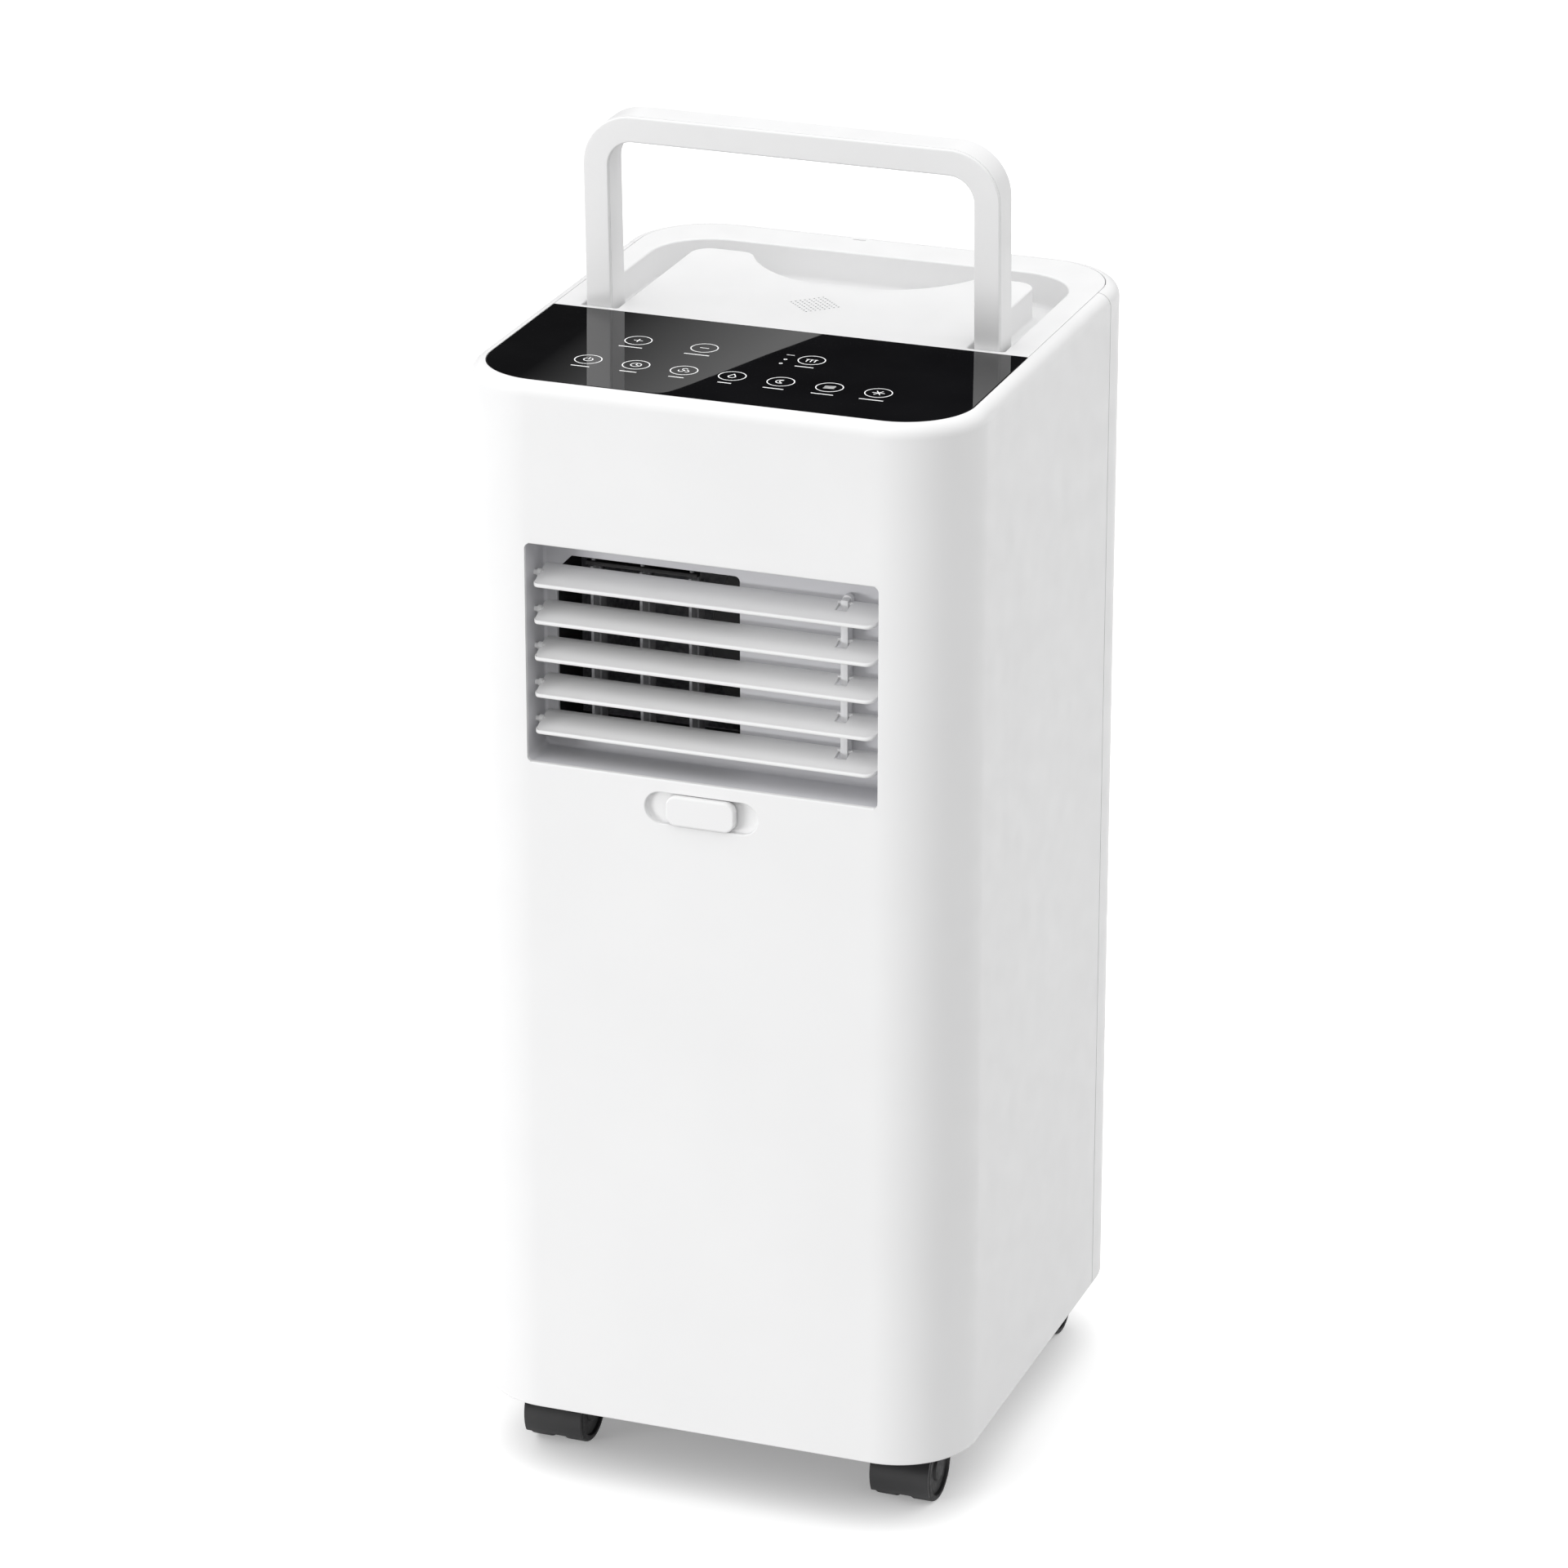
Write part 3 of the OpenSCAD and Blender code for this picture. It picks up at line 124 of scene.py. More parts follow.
class Shape:
    """Closed shells made of rings of points. Each shell adds to the same mesh."""

    def __init__(self):
        self.points = []
        self.faces = []

    def ring(self, points):
        first = len(self.points)
        self.points += [tuple(p) for p in points]
        return list(range(first, len(self.points)))

    def bridge(self, rings, closed=True):
        """Quads between neighbouring rings that hold the same number of points."""
        for a, b in zip(rings, rings[1:]):
            count = len(a) if closed else len(a) - 1
            for i in range(count):
                k = (i + 1) % len(a)
                self.faces.append((a[i], a[k], b[k], b[i]))

    def fill(self, loops):
        """A flat cap over the first loop, less the other loops."""
        joined = [i for loop in loops for i in loop]
        flat = [[Vector(self.points[i]) for i in loop] for loop in loops]
        self.faces += [tuple(joined[k] for k in tri) for tri in tessellate_polygon(flat)]

    def wall(self, outline, rows, put=upright):
        """Rings at (height, inset) rows of an outline, joined up. Returns the rings."""
        rings = [self.ring([put(x, y, h) for x, y in inset(outline, d)]) for h, d in rows]
        self.bridge(rings)
        return rings

    def prism(self, outline, low, high, low_r=0.0, high_r=0.0, holes=(), put=upright):
        """A plate between two heights, with rounded edges and holes."""
        rows = levels(low, high, low_r, high_r)
        outward = [(h, -d) for h, d in rows]
        rings = [self.wall(outline, rows, put)]
        rings += [self.wall(hole, outward, put) for hole in holes]
        self.fill([r[0] for r in rings])
        self.fill([r[-1] for r in rings])
        return self

    def lathe(self, profile, place, steps=64):
        """Turns a profile of (along, radius) about an axis. place takes along and two offsets."""
        rings = []
        for i in range(steps):
            a = 2 * math.pi * i / steps
            rings.append(
                self.ring([place(u, r * math.cos(a), r * math.sin(a)) for u, r in profile])
            )
        self.bridge(rings + rings[:1], closed=False)
        return self


def put_mesh(name, shape):
    """A Blender mesh object, in metres, of a shape in millimetres."""
    mesh = bpy.data.meshes.new(name)
    mesh.from_pydata([[c * MM for c in p] for p in shape.points], [], shape.faces)
    bm = bmesh.new()
    bm.from_mesh(mesh)
    bmesh.ops.remove_doubles(bm, verts=bm.verts, dist=1e-7)
    bmesh.ops.dissolve_degenerate(bm, edges=bm.edges, dist=1e-7)
    bmesh.ops.recalc_face_normals(bm, faces=bm.faces)
    bm.to_mesh(mesh)
    bm.free()
    obj = bpy.data.objects.new(name, mesh)
    scene.collection.objects.link(obj)
    return obj


def soften(obj, angle=40):
    """Smooth shading that keeps flat faces flat and real edges sharp."""
    obj.data.shade_smooth()
    obj.data.set_sharp_from_angle(angle=math.radians(angle))
    weighted = obj.modifiers.new("weighted_normals", "WEIGHTED_NORMAL")
    weighted.keep_sharp = True
    return obj


def piece(name, shape, material, body, replaces=(), angle=40):
    """Makes a piece of the object that rides on a body and stands for CAD nodes."""
    obj = shape if isinstance(shape, bpy.types.Object) else put_mesh(name, shape)
    obj.name = name
    soften(obj, angle)
    obj.data.materials.clear()
    obj.data.materials.append(material)
    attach(obj, body)
    if replaces:
        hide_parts(*replaces)
    return obj


def cut(obj, cutter_shape, plane_y, edge_r):
    """Cuts openings out of a wall and rounds their edges on the plane y = plane_y."""
    cutter = put_mesh("cutter", cutter_shape)
    boolean = obj.modifiers.new("cut", "BOOLEAN")
    boolean.object = cutter
    boolean.solver = "EXACT"
    graph = bpy.context.evaluated_depsgraph_get()
    mesh = bpy.data.meshes.new_from_object(obj.evaluated_get(graph))
    obj.modifiers.clear()
    obj.data = mesh
    bpy.data.objects.remove(cutter)
    bm = bmesh.new()
    bm.from_mesh(mesh)
    near = 1e-6
    edges = [
        e
        for e in bm.edges
        if all(abs(v.co.y - plane_y * MM) < near for v in e.verts)
        and len(e.link_faces) == 2
        and e.calc_face_angle(0) > math.radians(60)
    ]
    bmesh.ops.bevel(
        bm,
        geom=edges,
        offset=edge_r * MM,
        offset_type="OFFSET",
        segments=3,
        profile=0.5,
        affect="EDGES",
        clamp_overlap=False,
    )
    bm.to_mesh(mesh)
    bm.free()
    return obj


# ---------------------------------------------------------------- materials


class Nodes:
    """Short calls for building a node material."""

    def __init__(self, name):
        self.material = bpy.data.materials.new(name)
        self.material.use_nodes = True
        self.tree = self.material.node_tree
        self.shader = self.tree.nodes["Principled BSDF"]
        self.place = self.add("ShaderNodeTexCoord").outputs["Object"]

    def add(self, kind, **values):
        node = self.tree.nodes.new(kind)
        for key, value in values.items():
            setattr(node, key, value)
        return node

    def link(self, a, b):
        self.tree.links.new(a, b)

    def stretched(self, sx, sy, sz):
        mapping = self.add("ShaderNodeMapping")
        mapping.inputs["Scale"].default_value = (sx, sy, sz)
        self.link(self.place, mapping.inputs["Vector"])
        return mapping.outputs["Vector"]

    def noise(self, scale, detail=2.0, at=None):
        node = self.add("ShaderNodeTexNoise")
        node.inputs["Scale"].default_value = scale
        node.inputs["Detail"].default_value = detail
        self.link(at or self.place, node.inputs["Vector"])
        return node.outputs["Fac"]

    def cells(self, scale, feature="F1", output="Distance", at=None):
        node = self.add("ShaderNodeTexVoronoi", feature=feature)
        node.inputs["Scale"].default_value = scale
        self.link(at or self.place, node.inputs["Vector"])
        return node.outputs[output]

    def bands(self, scale, direction, at=None):
        node = self.add("ShaderNodeTexWave", bands_direction=direction)
        node.inputs["Scale"].default_value = scale
        node.inputs["Distortion"].default_value = 0.0
        self.link(at or self.place, node.inputs["Vector"])
        return node.outputs["Fac"]

    def ranged(self, value, low, high, from_low=0.3, from_high=0.7):
        node = self.add("ShaderNodeMapRange")
        node.inputs["From Min"].default_value = from_low
        node.inputs["From Max"].default_value = from_high
        node.inputs["To Min"].default_value = low
        node.inputs["To Max"].default_value = high
        self.link(value, node.inputs["Value"])
        return node.outputs["Result"]

    def blend(self, factor, first, second):
        node = self.add("ShaderNodeMix", data_type="RGBA")
        node.inputs["A"].default_value = (*first, 1)
        node.inputs["B"].default_value = (*second, 1)
        self.link(factor, node.inputs["Factor"])
        return node.outputs["Result"]

    def color(self, factor, first, second):
        self.link(self.blend(factor, first, second), self.shader.inputs["Base Color"])
        return self

    def rough(self, factor, low, high):
        self.link(self.ranged(factor, low, high), self.shader.inputs["Roughness"])
        return self

    def bump(self, height, depth, strength=1.0):
        """A bump of the given depth, in millimetres."""
        node = self.add("ShaderNodeBump")
        node.inputs["Strength"].default_value = strength
        node.inputs["Distance"].default_value = depth * MM
        self.link(height, node.inputs["Height"])
        self.link(node.outputs["Normal"], self.shader.inputs["Normal"])
        return self

    def uniform(self, **sockets):
        for key, value in sockets.items():
            self.shader.inputs[key.replace("_", " ")].default_value = value
        return self


def shades(tone, spread):
    """Two neighbouring tones of a colour."""
    return tuple(c * (1 - spread) for c in tone), tuple(min(1, c * (1 + spread)) for c in tone)


def moulded(name, tone, roughness=0.42, spread=0.012, grain=0.012):
    """Moulded plastic: faint clouding of the colour, and a fine spark-eroded grain."""
    n = Nodes(name)
    n.color(n.ranged(n.noise(9.0), 0, 1), *shades(tone, spread))
    n.rough(n.noise(60.0), roughness - 0.05, roughness + 0.05)
    n.bump(n.noise(1700.0, 3.0), grain, 0.6)
    n.uniform(IOR=1.46)
    return n.material


def metal(name, tone, roughness, along, spread=0.08):
    """Drawn or rolled metal, with fine lines along one direction."""
    n = Nodes(name)
    lines = n.noise(180.0, 4.0, n.stretched(*along))
    n.color(n.ranged(lines, 0, 1), *shades(tone, spread))
    n.rough(lines, roughness - 0.07, roughness + 0.09)
    n.bump(lines, 0.03, 0.5)
    n.uniform(Metallic=1.0)
    return n.material


def rubber(name, tone, roughness):
    n = Nodes(name)
    n.color(n.ranged(n.noise(40.0), 0, 1), *shades(tone, 0.25))
    n.rough(n.noise(300.0), roughness - 0.08, roughness + 0.08)
    n.bump(n.noise(1200.0, 4.0), 0.04, 0.7)
    return n.material


def glass_print():
    n = Nodes("key_print_ink_painted_glow")
    n.color(n.ranged(n.noise(500.0), 0, 1), (0.80, 0.81, 0.82), (0.93, 0.93, 0.93))
    n.rough(n.noise(200.0), 0.3, 0.45)
    n.bump(n.noise(3000.0), 0.005, 0.4)
    # The emission paints a faint glow onto the printed marks: painted light, as the ink is no lamp.
    n.uniform(Emission_Color=(1, 1, 1, 1), Emission_Strength=0.25)
    return n.material


def black_glass():
    """Back-painted glass: very smooth, with the faint waviness of float glass."""
    n = Nodes("black_glass")
    n.color(n.ranged(n.noise(25.0), 0, 1), (0.0022, 0.0022, 0.0026), (0.004, 0.004, 0.0045))
    n.rough(n.noise(70.0), 0.002, 0.008)
    n.bump(n.noise(14.0), 0.004, 0.25)
    n.uniform(IOR=1.5)
    return n.material


def fins():
    """Aluminium fins on edge: thin bright plates, with painted shade in the spaces between them."""
    n = Nodes("aluminium_fins")
    shaded_gaps = n.bands(175.0, "X")
    n.color(n.ranged(shaded_gaps, 0, 1, 0.2, 0.8), (0.05, 0.05, 0.055), (0.70, 0.71, 0.73))
    n.rough(n.noise(400.0), 0.3, 0.45)
    n.bump(shaded_gaps, 0.5, 0.8)
    n.uniform(Metallic=1.0)
    return n.material


def galvanised():
    n = Nodes("galvanised_steel")
    spangle = n.cells(85.0, output="Color")
    n.color(n.ranged(spangle, 0, 1, 0.1, 0.9), (0.50, 0.52, 0.54), (0.68, 0.69, 0.71))
    n.rough(spangle, 0.32, 0.5)
    n.bump(n.noise(500.0), 0.01, 0.4)
    n.uniform(Metallic=1.0)
    return n.material


def foam():
    n = Nodes("foam_grey")
    beads_and_crevice_shade = n.cells(260.0)
    # Bead centres lighter and bead edges darker: painted shade in the crevices between the beads.
    n.color(n.ranged(beads_and_crevice_shade, 0, 1, 0.0, 0.9), (0.34, 0.34, 0.36), (0.20, 0.20, 0.22))
    n.rough(n.noise(200.0), 0.75, 0.9)
    n.bump(beads_and_crevice_shade, -0.35, 0.7)
    return n.material


def board():
    """Green solder mask over fine copper tracks."""
    n = Nodes("circuit_board")
    tracks = n.cells(330.0, feature="DISTANCE_TO_EDGE")
    n.color(n.ranged(tracks, 0, 1, 0.02, 0.10), (0.05, 0.26, 0.10), (0.01, 0.12, 0.045))
    n.rough(n.noise(150.0), 0.25, 0.4)
    n.bump(tracks, 0.06, 0.5)
    return n.material


def mesh_cloth():
    """Woven filter mesh: round threads, with painted shade in the dark holes between them."""
    n = Nodes("filter_mesh")
    across = n.bands(310.0, "X")
    up = n.bands(310.0, "Z")
    both = n.add("ShaderNodeMath", operation="MAXIMUM")
    n.link(across, both.inputs[0])
    n.link(up, both.inputs[1])
    weave_and_hole_shade = both.outputs["Value"]
    n.color(n.ranged(weave_and_hole_shade, 0, 1, 0.45, 0.75), (0.015, 0.015, 0.017), (0.10, 0.105, 0.11))
    n.rough(n.noise(200.0), 0.5, 0.65)
    n.bump(weave_and_hole_shade, 0.3, 0.8)
    return n.material


def copper():
    n = Nodes("copper")
    n.color(n.ranged(n.noise(45.0, 4.0), 0, 1), (0.62, 0.26, 0.13), (0.80, 0.42, 0.25))
    n.rough(n.noise(120.0), 0.25, 0.42)
    n.bump(n.noise(600.0), 0.02, 0.4)
    n.uniform(Metallic=1.0)
    return n.material


SLOTS = {
    "white_plastic": moulded("white_plastic", (0.77, 0.77, 0.772)),
    "grey_plastic": moulded("grey_plastic", (0.60, 0.60, 0.62), 0.5),
    "pale_plastic": moulded("pale_plastic", (0.72, 0.72, 0.73), 0.48),
    # Near black: partly the plastic's own colour, darkened further as painted shade for the inside of the outlet
    # duct.
    "dark_plastic": moulded("dark_plastic", (0.012, 0.0115, 0.0125), 0.55, 0.1),
    "black_plastic": moulded("black_plastic", (0.018, 0.018, 0.019), 0.4, 0.12, 0.02),
    "foam_grey": foam(),
    "black_glass": black_glass(),
    "circuit_board": board(),
    "spring_steel": metal("spring_steel", (0.70, 0.68, 0.62), 0.3, (1, 1, 9)),
    "steel": metal("steel", (0.58, 0.58, 0.59), 0.28, (9, 1, 1)),
    "galvanised_steel": galvanised(),
    "aluminium_fins": fins(),
    "black_paint": moulded("black_paint", (0.014, 0.014, 0.015), 0.3, 0.15, 0.03),
    "black_rubber": rubber("black_rubber", (0.012, 0.012, 0.013), 0.62),
    "copper": copper(),
    "filter_mesh": mesh_cloth(),
}
WHITE = SLOTS["white_plastic"]

# ---------------------------------------------------------------- casing

shell_low, shell_high = box_mm("front_shell")
cover_low, cover_high = box_mm("rear_cover")
half_w = shell_high[0]
front_y = shell_low[1]
rear_y = cover_high[1]
bottom_z = shell_low[2]
deck_z = shell_high[2]
seam_y = shell_high[1]
seam_gap = 0.8
front_r = 48
rear_r = 52
rim_r = 8
wall_t = 2.6
front_corner = (half_w - front_r, front_y + front_r)
rear_corner = (half_w - rear_r, rear_y - rear_r)


def plan(shrink, steps=24):
    """The outline of the casing seen from above, moved in."""
    fx, fy = front_corner
    rx, ry = rear_corner
    return (
        arc(-fx, fy, front_r - shrink, 180, 270, steps)
        + arc(fx, fy, front_r - shrink, 270, 360, steps)
        + arc(rx, ry, rear_r - shrink, 0, 90, steps)
        + arc(-rx, ry, rear_r - shrink, 90, 180, steps)
    )


def wall_profile(rings_at):
    """Closed section of the wall: pairs of distance from the outer face and height."""
    foot_r = 1.0
    lip_r = 0.4
    top_in = rim_r - lip_r
    rim = arc(rim_r, deck_z - rim_r, rim_r, 180, 90, 12)
    inner = arc(rim_r, deck_z - rim_r, rim_r - wall_t, 90, 180, 8)
    lip = arc(top_in, deck_z - lip_r, lip_r, 90, 0, 3)
    foot = arc(foot_r, bottom_z + foot_r, foot_r, 270, 180, 4)
    face = [(0, z) for z in rings_at]
    return foot + face + rim[:-1] + lip + inner + [(wall_t, bottom_z)]


def sweep_wall(path, rings_at=()):
    """Runs the wall section along a path of (x, y, inward x, inward y), with rings at heights."""
    shape = Shape()
    profile = wall_profile(rings_at)
    rings = [shape.ring([(x + nx * d, y + ny * d, z) for d, z in profile]) for x, y, nx, ny in path]
    shape.bridge(rings)
    shape.fill([rings[0]])
    shape.fill([rings[-1]])
    return shape


def corner_path(cx, cy, r, start, end, steps=24):
    turns = [math.radians(start + (end - start) * i / steps) for i in range(steps + 1)]
    return [
        (cx + r * math.cos(a), cy + r * math.sin(a), -math.cos(a), -math.sin(a)) for a in turns
    ]


front_path = (
    [(-half_w, seam_y, 1, 0)]
    + corner_path(-front_corner[0], front_corner[1], front_r, 180, 270)
    + corner_path(front_corner[0], front_corner[1], front_r, 270, 360)
    + [(half_w, seam_y, -1, 0)]
)
rear_path = (
    [(half_w, seam_y + seam_gap, -1, 0)]
    + corner_path(rear_corner[0], rear_corner[1], rear_r, 0, 90)
    + corner_path(-rear_corner[0], rear_corner[1], rear_r, 90, 180)
    + [(-half_w, seam_y + seam_gap, 1, 0)]
)

track_low, track_high = box_mm("slider_track")
track_z = (track_low[2] + track_high[2]) / 2
track_half = 33.5
track_r = 9.35
frame_low, frame_high = box_mm("vent_frame")
frame_wall = 2.5
frame_gap = 0.6
vent_half = 104
vent_low = frame_low[2] + frame_wall
vent_high = frame_high[2] - frame_wall
vent_z = (vent_low + vent_high) / 2
vent_half_h = (vent_high - vent_low) / 2
vent_back_y = frame_high[1] - frame_wall


def stadium(half, r, shrink=0.0, steps=16):
    return arc(half - r, track_z, r - shrink, -90, 90, steps) + arc(
        -half + r, track_z, r - shrink, 90, 270, steps
    )


front_windows = Shape()
vent_outline = round_rect(0, vent_z, vent_half, vent_half_h, 3)
front_windows.prism(vent_outline, front_y - 2, front_y + 6, put=along_y)
front_windows.prism(stadium(track_half, track_r), front_y - 2, front_y + 6, put=along_y)
beside_vent = (vent_low - 3, vent_high + 3)
front = put_mesh("front_panel", sweep_wall(front_path, beside_vent))
cut(front, front_windows, front_y, 0.9)
piece("front_panel", front, WHITE, "root", ["front_shell"])

# The rear cover has a window for each grille, and holes for the outlet, plugs, gland and screws
collar_low, collar_high = box_mm("exhaust_collar")
outlet_x = (collar_low[0] + collar_high[0]) / 2
outlet_z = (collar_low[2] + collar_high[2]) / 2
outlet_r = 71.3
plug_r = 8
gland_r = 9
screw_r = 2.2
screw_x = 100
window_half = 92
window_half_heights = {"intake_grille_upper": 100, "intake_grille_lower": 76}
rear_outlines = [circle(outlet_x, outlet_z, outlet_r, 64)]
rear_outlines += [circle(x, z, plug_r, 24) for x, z in ((-84, 413), (-80, 60))]
rear_outlines.append(circle(84, 81, gland_r, 24))
for side in (-1, 1):
    rear_outlines += [circle(side * screw_x, z, screw_r, 12) for z in (120, 300, 460, 640)]
for node, half_h in window_half_heights.items():
    low, high = box_mm(node)
    rear_outlines.append(round_rect(0, (low[2] + high[2]) / 2, window_half, half_h, 6))
rear_windows = Shape()
for outline in rear_outlines:
    rear_windows.prism(outline, rear_y - 9, rear_y + 2, put=along_y)
rear = put_mesh("rear_panel", sweep_wall(rear_path))
cut(rear, rear_windows, rear_y, 0.5)
piece("rear_panel", rear, WHITE, "root", ["rear_cover"])

# ---------------------------------------------------------------- deck and sensor insert

deck_inset = rim_r + 0.4
deck_edge_r = 0.5
glass_low, glass_high = box_mm("glass_panel")
deck_front_y = glass_high[1] + 0.4
plate_z = glass_low[2]
deck_low, deck_high = box_mm("top_deck")
basin_wall = 2.2
channel_floor = deck_low[2] + basin_wall
channel_x = 126.5
channel_front = -19.5
channel_rear = 126
channel_r = 36
platform_x = 104.5
platform_rear = 107.5
platform_r = 12
scallop_y = 136.6
scallop_r = 75.6
lip_r = 10


def channel_outline():
    """The U of the handle channel seen from above, with the finger scallop, counterclockwise."""
    toe_r = 1.5
    bend_x = channel_x - channel_r
    bend_y = channel_rear - channel_r
    shoulder_x = platform_x - platform_r
    shoulder_y = platform_rear - platform_r
    lip_y = platform_rear - lip_r
    reach = scallop_r + lip_r
    lip_x = math.sqrt(reach**2 - (scallop_y - lip_y) ** 2)
    turn = math.degrees(math.atan2(scallop_y - lip_y, lip_x))
    toe_y = channel_front + toe_r
    return (
        arc(platform_x + toe_r, toe_y, toe_r, 180, 270, 3)
        + arc(channel_x - toe_r, toe_y, toe_r, 270, 360, 3)
        + arc(bend_x, bend_y, channel_r, 0, 90, 18)
        + arc(-bend_x, bend_y, channel_r, 90, 180, 18)
        + arc(-channel_x + toe_r, toe_y, toe_r, 180, 270, 3)
        + arc(-platform_x - toe_r, toe_y, toe_r, 270, 360, 3)
        + arc(-shoulder_x, shoulder_y, platform_r, 180, 90, 10)
        + arc(-lip_x, lip_y, lip_r, 90, turn, 8)
        + arc(0, scallop_y, scallop_r, 180 + turn, 360 - turn, 40)[1:-1]
        + arc(lip_x, lip_y, lip_r, 180 - turn, 90, 8)
        + arc(shoulder_x, shoulder_y, platform_r, 90, 0, 10)
    )


sensor_low, sensor_high = box_mm("sensor_grille")
sensor_x = (sensor_low[0] + sensor_high[0]) / 2
sensor_y = (sensor_low[1] + sensor_high[1]) / 2
sensor_reach = (sensor_high[0] - sensor_low[0]) / 2
sensor_gap = 0.06
sensor_face_t = 0.25
catch_x = -20
catch_y = 151.5
catch_depth = 1.5
catch_slot = round_rect(catch_x, catch_y, 4, 0.8, 0.4, 3)


def diamond(reach):
    turned = [(0, -1), (1, 0), (0, 1), (-1, 0)]
    return [(sensor_x + dx * reach, sensor_y + dy * reach) for dx, dy in turned]


def deck_plate():
    """The inset deck: its flat top, the handle channel with a filleted floor, and its underside."""
    shape = Shape()
    rx, ry = rear_corner
    outer = (
        [(-half_w + deck_inset, deck_front_y), (half_w - deck_inset, deck_front_y)]
        + arc(rx, ry, rear_r - deck_inset, 0, 90, 24)
        + arc(-rx, ry, rear_r - deck_inset, 90, 180, 24)
    )
    flat = 0.5
    rim_rows = levels(plate_z, deck_z, 0, deck_edge_r) + [(deck_z, deck_edge_r + flat)]
    rim = shape.wall(outer, rim_rows)
    channel = channel_outline()
    lip = 1.1
    fillet = 2.4
    steps = 5
    turns = [math.radians(90 * i / steps) for i in range(steps + 1)]
    rows = [(deck_z, -lip - flat)]
    rows += [(deck_z - lip * (1 - math.cos(a)), -lip * (1 - math.sin(a))) for a in turns]
    low = channel_floor + fillet
    rows += [(low - fillet * math.sin(a), fillet * (1 - math.cos(a))) for a in turns]
    rows += [(channel_floor, fillet + flat)]
    inside = shape.wall(channel, rows)
    shape.fill([inside[-1]])
    under = [(plate_z, -basin_wall), (deck_low[2], -basin_wall)]
    outside = shape.wall(channel, under)
    shape.fill([outside[-1]])
    seat = shape.wall(diamond(sensor_reach + sensor_gap), [(deck_z, 0), (plate_z, 0)])
    slot = shape.wall(catch_slot, [(deck_z, 0), (deck_z - catch_depth, 0)])
    shape.fill([slot[-1]])
    shape.fill([rim[-1], inside[0], seat[0], slot[0]])
    shape.fill([rim[0], outside[0], seat[-1]])
    ledge_low = deck_z - 6.5
    window = round_rect(0, -94, 101, 39, 3)
    around_channel = inset(channel, -basin_wall - 0.02)
    shape.prism(plan(deck_inset), ledge_low, plate_z - 0.02, holes=[window, around_channel])
    return shape


piece("deck_plate", deck_plate(), WHITE, "root", ["top_deck"])


def sensor_insert():
    """A flush square face with rows of fine holes, over a dark filter."""
    rows = 8
    pitch = 2.88
    hole_r = 0.62
    diagonal = pitch * math.sqrt(0.5)
    holes = []
    for i in range(rows):
        for k in range(rows):
            x = sensor_x + (i - k) * diagonal
            y = sensor_y + (i + k - rows + 1) * diagonal
            holes.append(circle(x, y, hole_r, 10))
    return Shape().prism(diamond(sensor_reach), deck_z - sensor_face_t, deck_z, holes=holes)


piece("sensor_insert", sensor_insert(), WHITE, "root", ["sensor_grille"])
filter_top = deck_z - sensor_face_t - 0.02
filter_sheet = Shape().prism(diamond(sensor_reach - 0.3), deck_z - 2, filter_top)
SENSOR_BLUE = moulded("sensor_blue", (0.03, 0.04, 0.075), 0.5, 0.1)
piece("sensor_filter", filter_sheet, SENSOR_BLUE, "root")

# ---------------------------------------------------------------- glass and key marks

fx, fy = front_corner
glass_outline = (
    arc(-fx, fy, front_r - deck_inset, 180, 270, 24)
    + arc(fx, fy, front_r - deck_inset, 270, 360, 24)
    + [(half_w - deck_inset, glass_high[1]), (-half_w + deck_inset, glass_high[1])]
)
glass = Shape().prism(glass_outline, glass_low[2], deck_z, 0.1, 0.35)
piece("glass_plate", glass, SLOTS["black_glass"], "root", ["glass_panel"])

ink_z = deck_z - 0.02
ink_t = 0.06
key_pitch = 28.4
stroke = 0.55


def ink_line(shape, x0, y0, x1, y1, width=stroke):
    """A printed line with square ends."""
    u = Vector((x1 - x0, y1 - y0)).normalized() * (width / 2)
    corners = [
        (x0 - u.x + u.y, y0 - u.y - u.x),
        (x1 + u.x + u.y, y1 + u.y - u.x),
        (x1 + u.x - u.y, y1 + u.y + u.x),
        (x0 - u.x - u.y, y0 - u.y + u.x),
    ]
    shape.prism(corners, ink_z, ink_z + ink_t)


def ink_arc(shape, cx, cy, r, start, end, steps=10, width=stroke):
    """A printed arc, or a whole ring when it runs all the way round."""
    if end - start >= 360:
        outer = circle(cx, cy, r + width / 2, 48)
        shape.prism(outer, ink_z, ink_z + ink_t, holes=[circle(cx, cy, r - width / 2, 48)])
        return
    outer = arc(cx, cy, r + width / 2, start, end, steps)
    inner = arc(cx, cy, r - width / 2, end, start, steps)
    shape.prism(outer + inner, ink_z, ink_z + ink_t)


def mark_power(s, x, y):
    ink_arc(s, x, y, 2.6, 120, 420, 14)
    ink_line(s, x, y + 0.6, x, y + 3.4)


def mark_clock(s, x, y):
    ink_arc(s, x, y, 3.0, 0, 360)
    ink_line(s, x, y, x, y + 1.8)
    ink_line(s, x, y, x + 1.4, y - 0.6)


def mark_drop(s, x, y):
    ink_arc(s, x, y - 0.8, 2.1, 150, 390, 10)
    ink_line(s, x - 1.8, y + 0.2, x, y + 3.4)
    ink_line(s, x + 1.8, y + 0.2, x, y + 3.4)


def mark_snow(s, x, y):
    for turn in (0, 60, 120):
        a = math.radians(turn)
        dx, dy = 3.3 * math.cos(a), 3.3 * math.sin(a)
        ink_line(s, x - dx, y - dy, x + dx, y + dy)


def mark_waves(s, x, y):
    for k in (-1, 0, 1):
        ink_arc(s, x + 2.4 * k, y - 0.9, 2.0, 60, 120, 4)
        ink_line(s, x + 2.4 * k, y - 2.8, x + 2.4 * k, y + 0.4)


